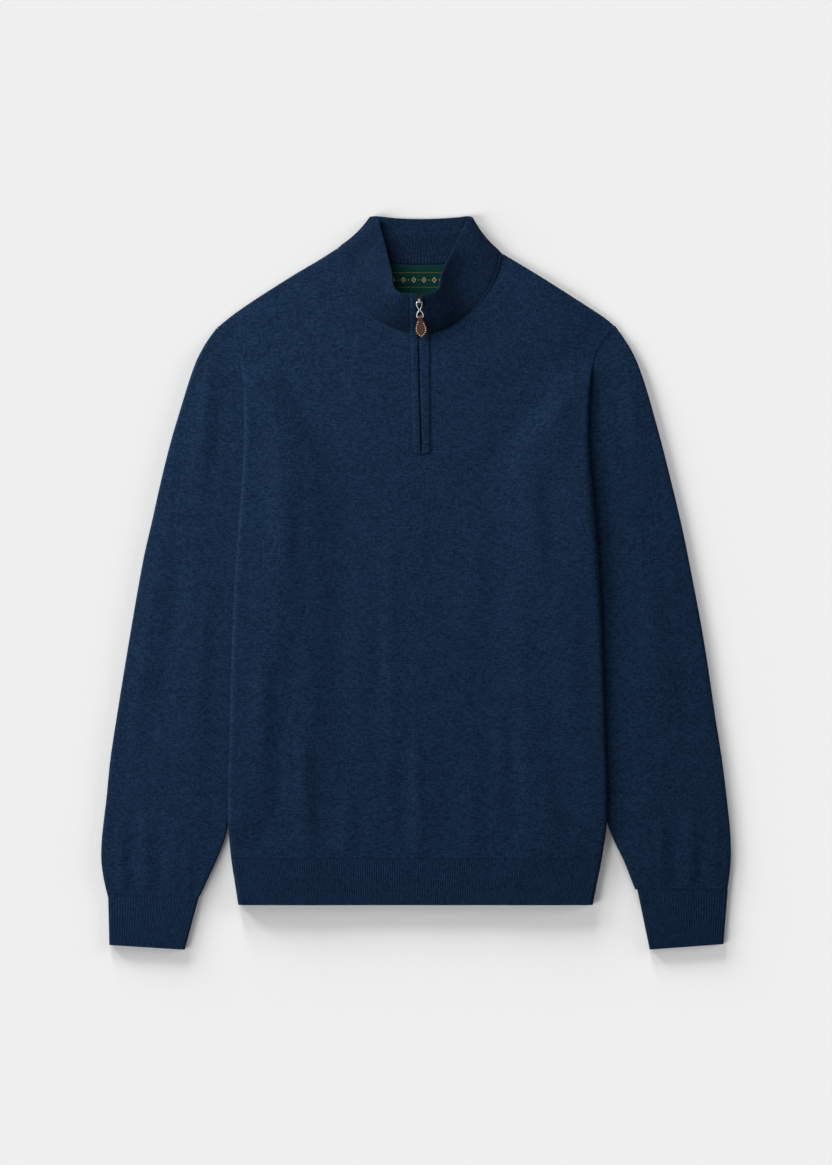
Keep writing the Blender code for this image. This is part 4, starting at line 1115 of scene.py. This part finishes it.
def loop_sheet(name, rows, knit, material):
    """A closed loop of rows, such as a doubled collar: its ends and its bottom are closed."""
    count, width = rows.shape[:2]
    number = np.arange(count * width).reshape(count, width)
    faces = [between(number, np.roll(number, -1, axis=0)).reshape(-1, 4)]
    for i, order in ((0, -1), (width - 1, 1)):
        near, far = number[:count // 2, i], number[count - count // 2:, i][::-1]
        faces.append(between(near, far)[:, ::order])
    return sheet_object(name, rows, np.concatenate(faces).tolist(), knit, material, 60.0)


def collar_rib_gap_shade(up):
    """How much painted shade lies in the gaps between the ribs: faint outside, none in the smooth band
    inside the top edge, clear below.
    """
    return ((0.046 - up) * 200.0).held() * 0.25 + ((up - 0.0655) * 600.0).held() * 0.55


# painted shade: the collar's yarn is darker than the body's, standing in for shade on the collar whose
# slopes the lamps light too well
COLLAR_PAINTED_SHADE = 0.73          # the collar's shade beside the body's
collar_knit = knitted("collar knit", *([COLLAR_PAINTED_SHADE * part for part in yarn]
                                       for yarn in (YARN_DARK, YARN_LIGHT)),
                      0.0014, 0.0016, 0.5, streak=0.65, rib=RIB_MAP * MM, clear=collar_rib_gap_shade)
collar = loop_sheet("collar_rib", *collar_skin(), collar_knit)
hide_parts("collar")
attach(collar, "sweater")


# ---- The seams ----
# Linked seams show as fine cords of the same yarn: round the neck, at the neck points and
# down the armholes.


def tubes(name, middle, first, second, material, knit=None, turned=None, ends=(), angle=50.0):
    """Thin tubes, each through rings of points with these middles and half axes.

    The arrays have a row for each tube and each of its rings. turned says which tubes run
    the other way round, and ends which of their rings are closed with a flat face.
    """
    turn = np.linspace(0.0, 2.0 * math.pi, knit.shape[2] if knit is not None else 6,
                       endpoint=False)[:, None]
    grid = (middle[..., None, :] + np.cos(turn) * first[..., None, :]
            + np.sin(turn) * second[..., None, :])
    grid[..., 2] = np.maximum(grid[..., 2], 0.0)
    number = np.arange(grid[..., 0].size).reshape(grid.shape[:3])
    round_number = np.concatenate([number, number[..., :1]], axis=2)
    faces = between(round_number[:, :-1], round_number[:, 1:])
    caps = [number[:, ring, ::order].copy() for ring, order in ends]
    if turned is not None:
        for part in (faces, *caps):
            part[turned] = part[turned][..., ::-1]
    faces = faces.reshape(-1, 4).tolist() + [cap for part in caps for cap in part.tolist()]
    knit = grid[..., :2] if knit is None else knit
    return sheet_object(name, grid, faces, knit, material, angle)


def cord(name, points, radius, material, sides=6):
    """A thin round cord through points, its radius one number or one for each point."""
    points = np.array(points, float)
    radius = np.broadcast_to(radius, len(points))[:, None]
    run = unit(np.gradient(points, axis=0))
    side = [np.cross(run[0], (0.0, 0.0, 1.0))]
    for step in run[1:]:
        side.append(side[-1] - step * (side[-1] @ step))
    side = unit(np.array(side))
    turn = np.linspace(0.0, 2.0 * math.pi, sides, endpoint=False)
    return tubes(name, points[None], (radius * side)[None], (radius * np.cross(side, run))[None],
                 material, coords(turn * radius, lengths(points)[:, None])[None],
                 ends=((0, -1), (-1, 1)), angle=70.0)


def seam_yarn():
    """Linked loops: the knit's yarn, with a notch at each stitch that is painted darker as shade."""
    made, tree = surface("seam yarn", 0.88, Specular_IOR_Level=0.12)
    loop = (knit_place(tree).part(1) / 0.0016).tent()
    # painted shade: the yarn is darker in the notch between loops
    shade = (loop * 0.55 + noise(tree, 900.0) * 0.5).held()
    colour = blend_colour(shade, [part * 0.6 for part in YARN_DARK], YARN_LIGHT)
    return clad(made, colour, None, loop, 0.6, 0.0004)


linked = seam_yarn()


def seam(name, points, radius, yarn=linked):
    made = cord(name, points, radius, yarn)
    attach(made, "sweater")


seam("neck_seam", collar_point(collar_places(2)[0], 0.0, 0.15)[0], 0.5)
for side in ("left", "right"):
    sign = SIGN[side]
    panel = yoke(side, back=False)[0]
    start_x, start_y = (float(part[0]) for part in shoulder_end(side, np.array([0.0]))[2:])
    shift = (-sign * (0.8 * start_y + 0.3), 0.8 * start_x - 1.0, 0.0)
    seam(f"neck_point_seam_{side}", panel[-TURN - 3:, NECK_COLUMNS] + shift, 1.2)
    y = np.linspace(UNDERARM, SHOULDER_TIP - 1.4, 60)
    x = body_edge(side, y) + 0.15
    line = coords(sign * x, y, front_height(sign * (x - 1.0), y) - armhole_drop(side, y) + 0.2)
    tip = panel[-TURN:, NECK_COLUMNS + SHOULDER_COLUMNS - 1] + (sign * 0.3, -0.1, 0.0)
    thick = np.concatenate([np.full(50, 0.4), np.linspace(0.4, 1.2, 10), np.full(TURN, 1.2)])
    seam(f"armhole_seam_{side}", np.concatenate([line, tip]), thick)


# ---- The plackets ----
# Two narrow bands of the plain knit are folded over the edges of the opening. They run from a
# shallow point below the zip up the front of the collar, and frame the chain.

CHAIN_GAP = (
    # y, half the gap between the bands
    (SLOT_END, 0.1), (144.0, 0.7), (175.0, 0.6), (236.0, 0.45), (284.0, 0.45), (290.0, 1.6),
)
BAND = {
    # bottom and top from the middle of the cloth, and powers of its outer half's round
    "left": (0.2, 2.2, 0.8, 1.0),
    "right": (0.2, 1.3, 0.5, 0.6),
}
INNER_POWERS = (0.5, 0.6)   # the same for the half beside the chain
POINT = 2.4                 # how far the bands run on below the chain


def zip_path(count, start):
    """Points of the zip's line up to the collar's edge, and the way out of the cloth."""
    y = np.linspace(start, 262.0, 200)
    x = along(ZIP_LINE, y, 1)
    seam_end, edge = np.array(COLLAR[0][0:3]), np.array(COLLAR[0][3:6])
    share = np.linspace(0.06, 1.0, 80)[:, None]
    out = np.cross((1.0, 0.0, 0.0), unit(edge - seam_end))
    stand = seam_end + (edge - seam_end) * share + out * COLLAR[0][6] * 4.0 * share * (1.0 - share)
    stand[:, 0] = along(ZIP_LINE, stand[:, 1], 1)
    points = np.concatenate([coords(x, y, front_height(x, y) + 0.6), stand])
    run = lengths(points)
    far = np.linspace(0.0, run[-1], count)
    points = sample(far, run, points)
    slope = np.gradient(points, axis=0)
    return points, unit(coords(0.0, -slope[:, 2], slope[:, 1])), far


def on_zip(name, start, section, material):
    """A strip along the zip. Its section gives x and the rise, and a shift along the zip."""
    points, up, far = zip_path(90, start)
    x, rise, shift = section(points[:, 1])
    rows = points[None] + up[None] * rise[..., None]
    rows[..., 0] = x
    rows[..., 1] += shift
    return loop_sheet(name, rows, coords(x, far[None] + shift), material)


def band(side):
    """A rounded band between the chain and the cut edge of the panel."""
    edge, sign = COLUMN[side] + 1, SIGN[side]
    low, high, *outer_powers = BAND[side]
    turn = np.linspace(0.0, math.pi, 16)[:, None]
    across, crown = np.cos(turn), np.sin(turn)
    tall, wide = (np.where(across * sign > 0.0, *powers) for powers in zip(outer_powers, INNER_POWERS))
    round_x = np.sign(across) * np.abs(across) ** wide

    def section(y):
        inner = along(ZIP_LINE, y, 1) + sign * along(CHAIN_GAP, y, 1)
        outer = along(ZIP_LINE, y, edge) - sign * SEAM
        middle, half = (inner + outer) / 2.0, np.abs(outer - inner) / 2.0
        x = middle + half * np.concatenate([round_x, round_x[::-5]])
        rise = low + (high - low) * np.pad(crown ** tall, [(0, 4), (0, 0)]) * np.ones(len(y))
        outward = np.clip(np.abs(x - inner) / (2.0 * half), 0.0, 1.0)
        return x, rise, POINT * outward * smooth((SLOT_END + 12.0 - y) / 14.0)

    made = on_zip(f"placket_{side}_knit", SLOT_END - POINT + 0.3, section, plain_knit)
    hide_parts(f"placket_{side}")
    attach(made, "sweater")
    line, up, _ = zip_path(110, SLOT_END - 0.3)
    line = line + up * 1.1
    line[:, 0] = along(ZIP_LINE, line[:, 1], edge) - sign * 0.1
    seam(f"placket_{side}_seam", line[:-1], 0.45, plain_knit)


band("left")
band("right")


# ---- The zip ----
# A dark woven tape with a closed coil, and a slider at the top of the collar: silver at its bridge,
# and painted dark below it as the shade of the link and leather.

LINK_BAR = (3.258, 296.799, 31.878)     # the bar that the link turns on, in the bridge
SLOPE = math.radians(32.7)              # of the collar below the slider
COIL_PITCH = 0.66


def tape_weave():
    """Fine herringbone tape."""
    made, tree = surface("zip tape", 0.8, Specular_IOR_Level=0.2)
    place = knit_place(tree)
    u, v = place.part(0), place.part(1)
    twill = ((u / 0.003).tent() * 1.6 + v / 0.0007).tent()
    return clad(made, blend_colour(twill, (0.004, 0.006, 0.010), (0.011, 0.015, 0.024)), None, twill)


def metal(name, dark, light, roughness, share, bridge=None):
    """Plated metal with a faint cloudy polish and hair scratches. A given bridge is brighter, and what
    lies below it stays dark, which on the slider is painted shade.
    """
    made, tree = surface(name, roughness, Metallic=share)
    place = Thread.node(tree, "ShaderNodeTexCoord", output=3)
    cloud = noise(tree, 260.0, 3.0, Vector=place)
    hair = noise(tree, 2100.0, Vector=place)
    colour = blend_colour(cloud, dark, light)
    if bridge:
        y, z = (place.part(i) / MM - LINK_BAR[i] for i in (1, 2))
        above = z * math.cos(SLOPE) - y * math.sin(SLOPE)
        beyond = z * math.sin(SLOPE) + y * math.cos(SLOPE)
        bright = (above * 2.0 + 1.6).held() * (beyond * 2.0 + 0.2).held()
        colour = blend_colour(bright, colour, bridge)
    return clad(made, colour, roughness + (cloud - 0.5) * 0.3 + (hair - 0.5) * 0.15, hair,
                0.12, 0.0001)


def grained(name, dark, light, scale, detail, roughness, rough=None, **constants):
    """Plain stuff between two shades. rough has its least roughness and what grain adds."""
    made, tree = surface(name, roughness, **constants)
    grain = noise(tree, scale, detail)
    return clad(made, blend_colour(grain, dark, light), rough and rough[0] + grain * rough[1])


def tape_section(y):
    left, right = along(ZIP_LINE, y, 2) + SEAM, along(ZIP_LINE, y, 3) - SEAM
    share = np.array([1.0, 0.6, 0.3, 0.0, 0.0, 0.3, 0.6, 1.0])[:, None]
    rise = np.array([-0.45] * 4 + [-1.1] * 4)[:, None] * np.ones(len(y))
    return mix(left, right, share), rise, 0.0 * rise


tape = on_zip("tape", SLOT_END + 2.0 * SEAM, tape_section, tape_weave())
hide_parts("zip_tape")
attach(tape, "sweater")


def coil():
    """Hooks of the coil, from each side in turn, closed over the middle of the tape."""
    points, up, far = zip_path(600, SLOT_END + 1.2)
    at = np.arange(0.0, far[-1] - 1.0, COIL_PITCH)
    from_left = np.arange(len(at)) % 2 == 0
    reach, thick = np.array([(0.78, 0.26), (0.62, 0.42), (-0.22, 0.46), (-0.45, 0.26)]).T
    over = sample(at, far, up)[:, None]
    middle = sample(at, far, points)[:, None] + over * 0.05
    middle = middle + coords(np.where(from_left, -1.0, 1.0)[:, None] * reach, 0.0, 0.0)
    ahead = np.cross(over, (1.0, 0.0, 0.0))
    plastic = grained("zip coil", (0.0015, 0.002, 0.005), (0.004, 0.006, 0.012), 700.0, 2.0, 0.6,
                      (0.5, 0.2), Specular_IOR_Level=0.2)
    thick = thick[:, None]
    return tubes("zip_coil", middle, thick * 0.72 * ahead, thick * over, plastic,
                 turned=~from_left, ends=((3, 1),))


teeth = coil()
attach(teeth, "sweater")

# painted shade: the slider's body is dark below its silver bridge, standing in for the shade of the
# link and leather over it
slider_metal_painted_shade = metal("plated gunmetal", (0.010, 0.011, 0.014), (0.045, 0.046, 0.050), 0.34, 0.7,
                 bridge=(0.80, 0.80, 0.81))
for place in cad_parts["zip_slider"].material_slots:
    place.material = slider_metal_painted_shade


# ---- The link ----
# A figure-eight of polished wire hangs from the slider's bridge, where its short bar turns.
# Its lower bar carries the leather pull.

LINK_LONG = 17.5                        # from the bridge's bar to the leather's
PULL_TILT = math.radians(30.0)
PULL_TURN = math.radians(4.5)
LINK_WIRE = 0.55                        # radius of the wire
LINK_HALF = (
    # across, down from the bridge
    (0.0, 0.0),
    (1.9, 0.0),
    (2.6, 0.7),
    (2.8, 2.6),
    (2.2, 5.2),
    (1.1, 7.7),
    (0.7, 9.0),
    (0.95, 10.2),
    (2.3, 12.0),
    (3.1, 14.2),
    (3.4, 16.6),
    (2.9, 17.5),
    (0.0, 17.5),
)

pull = (Matrix.Translation(LINK_BAR) @ Matrix.Rotation(PULL_TURN, 4, "Z")
        @ Matrix.Rotation(PULL_TILT, 4, "X") @ Matrix.Translation((0.0, -LINK_LONG, 0.0)))


def on_pull(points):
    """From across, down and out of the tab to the place of the hanging pull."""
    points = np.array(points) * (1.0, -1.0, 1.0)
    return points @ np.array(pull.to_3x3()).T + np.array(pull.translation)


# painted reflection: the nickel is mostly diffuse and near white, standing in for bright surroundings
# that the dim world does not give it to reflect
polished = metal("polished nickel", (0.94, 0.94, 0.95), (1.0, 1.0, 1.0), 0.16, 0.35)
half = catmull(LINK_HALF, np.linspace(0.0, len(LINK_HALF) - 1.0, 97))
wire = np.concatenate([half, half[-2::-1] * (-1.0, 1.0)])
link = cord("wire_link", on_pull(coords(wire[:, 0], wire[:, 1] - LINK_LONG, 0.0)), LINK_WIRE,
            polished, sides=12)
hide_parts("pull_link")
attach(link, "pull_link")


# ---- The leather pull ----
# A strip of brown leather is folded round the link's lower bar, cut to a spade shape and
# sewn along its edge with pale thread.

LEATHER = (
    # down from the link's lower bar, half width
    (-1.6, 2.0),
    (1.0, 2.4),
    (2.8, 2.6),
    (5.0, 3.6),
    (9.0, 5.0),
    (13.0, 6.0),
    (15.6, 6.1),
    (17.6, 5.3),
    (20.4, 3.2),
    (23.2, 0.5),
)
LAYER_THICK = 1.0
BAR_ROUND = 1.45            # from the bar's middle to the middle of the leather round it


def leather_finish():
    """Smooth brown leather: pores and darker patches."""
    made, tree = surface("brown leather", 0.5, Specular_IOR_Level=0.4)
    place = knit_place(tree)
    pore = Thread.node(tree, "ShaderNodeTexVoronoi", None, {"Vector": place, "Scale": 1700.0})
    patch = noise(tree, 330.0, 3.0, Vector=place)
    shade = (patch * 1.5 - 0.35 + pore * 0.25).held()
    colour = blend_colour(shade, (0.055, 0.024, 0.013), (0.175, 0.080, 0.042))
    return clad(made, colour, 0.42 + patch * 0.25, pore, 0.35, 0.00025)


def folded_leather():
    """One strip, from the tip up the front, round the bar and down the back."""
    down = np.concatenate([np.linspace(23.2, 21.0, 8), np.linspace(20.5, 0.6, 30)])
    front_z = mix(LAYER_THICK / 2.0 + 0.03, BAR_ROUND, 1.0 - smooth((down - 0.4) / 4.2))
    turn = np.linspace(0.12, math.pi - 0.12, 12)
    path = np.column_stack([np.concatenate([down, -BAR_ROUND * np.sin(turn), down[::-1]]),
                            np.concatenate([front_z, BAR_ROUND * np.cos(turn), -front_z[::-1]])])
    share = np.concatenate([[-1.0, -0.965], np.linspace(-0.85, 0.85, 9), [0.965, 1.0]])
    x = (along(LEATHER, path[:, :1], 1) - 0.1) * share
    dome = 0.12 * (1.0 - share ** 2) * np.sign(path[:, 1:])
    grid = coords(x, path[:, :1], path[:, 1:] + dome)
    return on_pull(grid), coords(x, lengths(path)[:, None])


def stitches(name, line, up, material, long=2.0, gap=0.7, radius=0.5):
    """Short stitches end to end along a line, each with both its ends sunk in."""
    line, up = np.array(line, float), np.array(up, float) * np.ones((len(line), 1))
    far = lengths(line)
    start = np.arange(gap / 2.0, far[-1] - long, long + gap)
    middles, sides, overs = [], [], []
    for share, thick, sink in ((0.0, 0.35, 0.7), (0.2, 0.9, 0.1), (0.5, 1.0, 0.0),
                               (0.8, 0.9, 0.1), (1.0, 0.35, 0.7)):
        at = start + share * long
        over = sample(at, far, up)
        ahead = sample(at + 0.1, far, line) - sample(at - 0.1, far, line)
        middles.append(sample(at, far, line) - over * (sink * radius))
        sides.append(radius * thick * unit(np.cross(ahead, over)))
        overs.append(radius * thick * over)
    return tubes(name, *(np.stack(part, axis=1) for part in (middles, sides, overs)), material)


leather_tab = cloth("leather_tab", *folded_leather(), leather_finish(), LAYER_THICK)
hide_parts("pull_tab")
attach(leather_tab, "pull_tab")

pale_thread = grained("pale waxed thread", (0.42, 0.30, 0.19), (0.80, 0.66, 0.48), 1500.0, 1.0,
                      0.6, (0.5, 0.3))
down = np.linspace(4.2, 20.6, 60)
half = along(LEATHER, down, 1) - 1.15
edge_line = np.concatenate([coords(-half, down), [[-1.2, 21.2], [0.0, 21.5], [1.2, 21.2]],
                            coords(half, down)[::-1]])
for face, rise in (("front", 1.0), ("back", -1.0)):
    z = rise * (LAYER_THICK + 0.1 + np.interp(edge_line[:, 1], (4.2, 6.0), (0.25, 0.0)))
    sewn = stitches(f"tab_stitches_{face}", on_pull(np.column_stack([edge_line, z])),
                    np.array(pull.to_3x3()) @ (0.0, 0.0, rise), pale_thread)
    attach(sewn, "pull_tab")


# ---- The neck label ----
# A woven label, sewn down all round inside the back of the neck. Its ornament is a plain
# border of lozenges and dots.

LABEL = (-27.0, 33.0, 307.5, 339.5)     # left, right, bottom, top
LABEL_HEIGHT = 2.1                      # of its middle
LABEL_THICK = 0.7
LOZENGE_STEP = 11.0
SEWN_INSET = 1.1


def woven_label():
    """Dark green satin with a woven row of small lozenges between fine lines."""
    made, tree = surface("woven label", 0.8, Specular_IOR_Level=0.05)
    place = knit_place(tree)
    u, v = (place.part(i) / MM for i in (0, 1))
    row = (v / 0.5).tent()
    column = ((u + v * 0.5) / 0.42).tent()
    away = v.math("ABSOLUTE")

    def inside(distance, limit):
        return ((limit - distance) / 0.25 + 0.5).held()

    lozenge = (1.0 - (u / LOZENGE_STEP).tent()) * 5.5 + away * 0.85
    small = (1.0 - (u / LOZENGE_STEP + 0.5).tent()) * 5.5 + away
    rule = inside((away - 7.8).math("ABSOLUTE"), 0.16) * 0.6
    fibre = noise(tree, 1400.0, Vector=place)
    picture = blend_colour((row * 0.6 + fibre * 0.5).held(),
                           (0.0005, 0.010, 0.009), (0.002, 0.042, 0.033))
    for share, colour in ((inside(lozenge, 2.6) * (1.0 - inside(lozenge, 2.0)), (0.34, 0.37, 0.33)),
                          (inside(lozenge, 1.1), (0.36, 0.045, 0.028)),
                          (inside(small, 0.8), (0.33, 0.15, 0.045)),
                          (rule, (0.30, 0.16, 0.06))):
        picture = blend_colour(share, picture, colour)
    return clad(made, picture, 0.55 + fibre * 0.2, row + column * 0.6, 0.5, 0.00015)


left, right, bottom, top = LABEL
x, y = np.meshgrid(np.linspace(left + 0.3, right - 0.3, 64), np.linspace(bottom + 0.3, top - 0.3, 34))
edge_gap = np.minimum(np.minimum(x - left, right - x), np.minimum(y - bottom, top - y))
wave = 0.12 * np.sin(x / 5.3 + 0.7) + 0.10 * np.sin(y / 4.1 + x / 9.0)
neck_label = cloth("woven_label", coords(x, y, LABEL_HEIGHT + wave * smooth((edge_gap - 1.0) / 4.0)),
                   coords(x - (left + right) / 2.0, y - (bottom + top) / 2.0), woven_label(),
                   LABEL_THICK)
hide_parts("neck_label")
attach(neck_label, "sweater")

x = (left + SEWN_INSET, right - SEWN_INSET)
y = (bottom + SEWN_INSET, top - SEWN_INSET)
corners = np.array([(x[i], y[j]) for i, j in ((0, 0), (1, 0), (1, 1), (0, 1), (0, 0))])
outline = np.concatenate([np.linspace(a, b, 40)[:-1] for a, b in zip(corners[:-1], corners[1:])])
green_thread = grained("green thread", (0.006, 0.035, 0.022), (0.016, 0.085, 0.055), 1500.0, 1.0, 0.6)
sewn = stitches("label_stitches", np.column_stack([outline, np.full(len(outline), 2.5)]),
                (0.0, 0.0, 1.0), green_thread, long=1.6, gap=1.1, radius=0.18)
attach(sewn, "sweater")
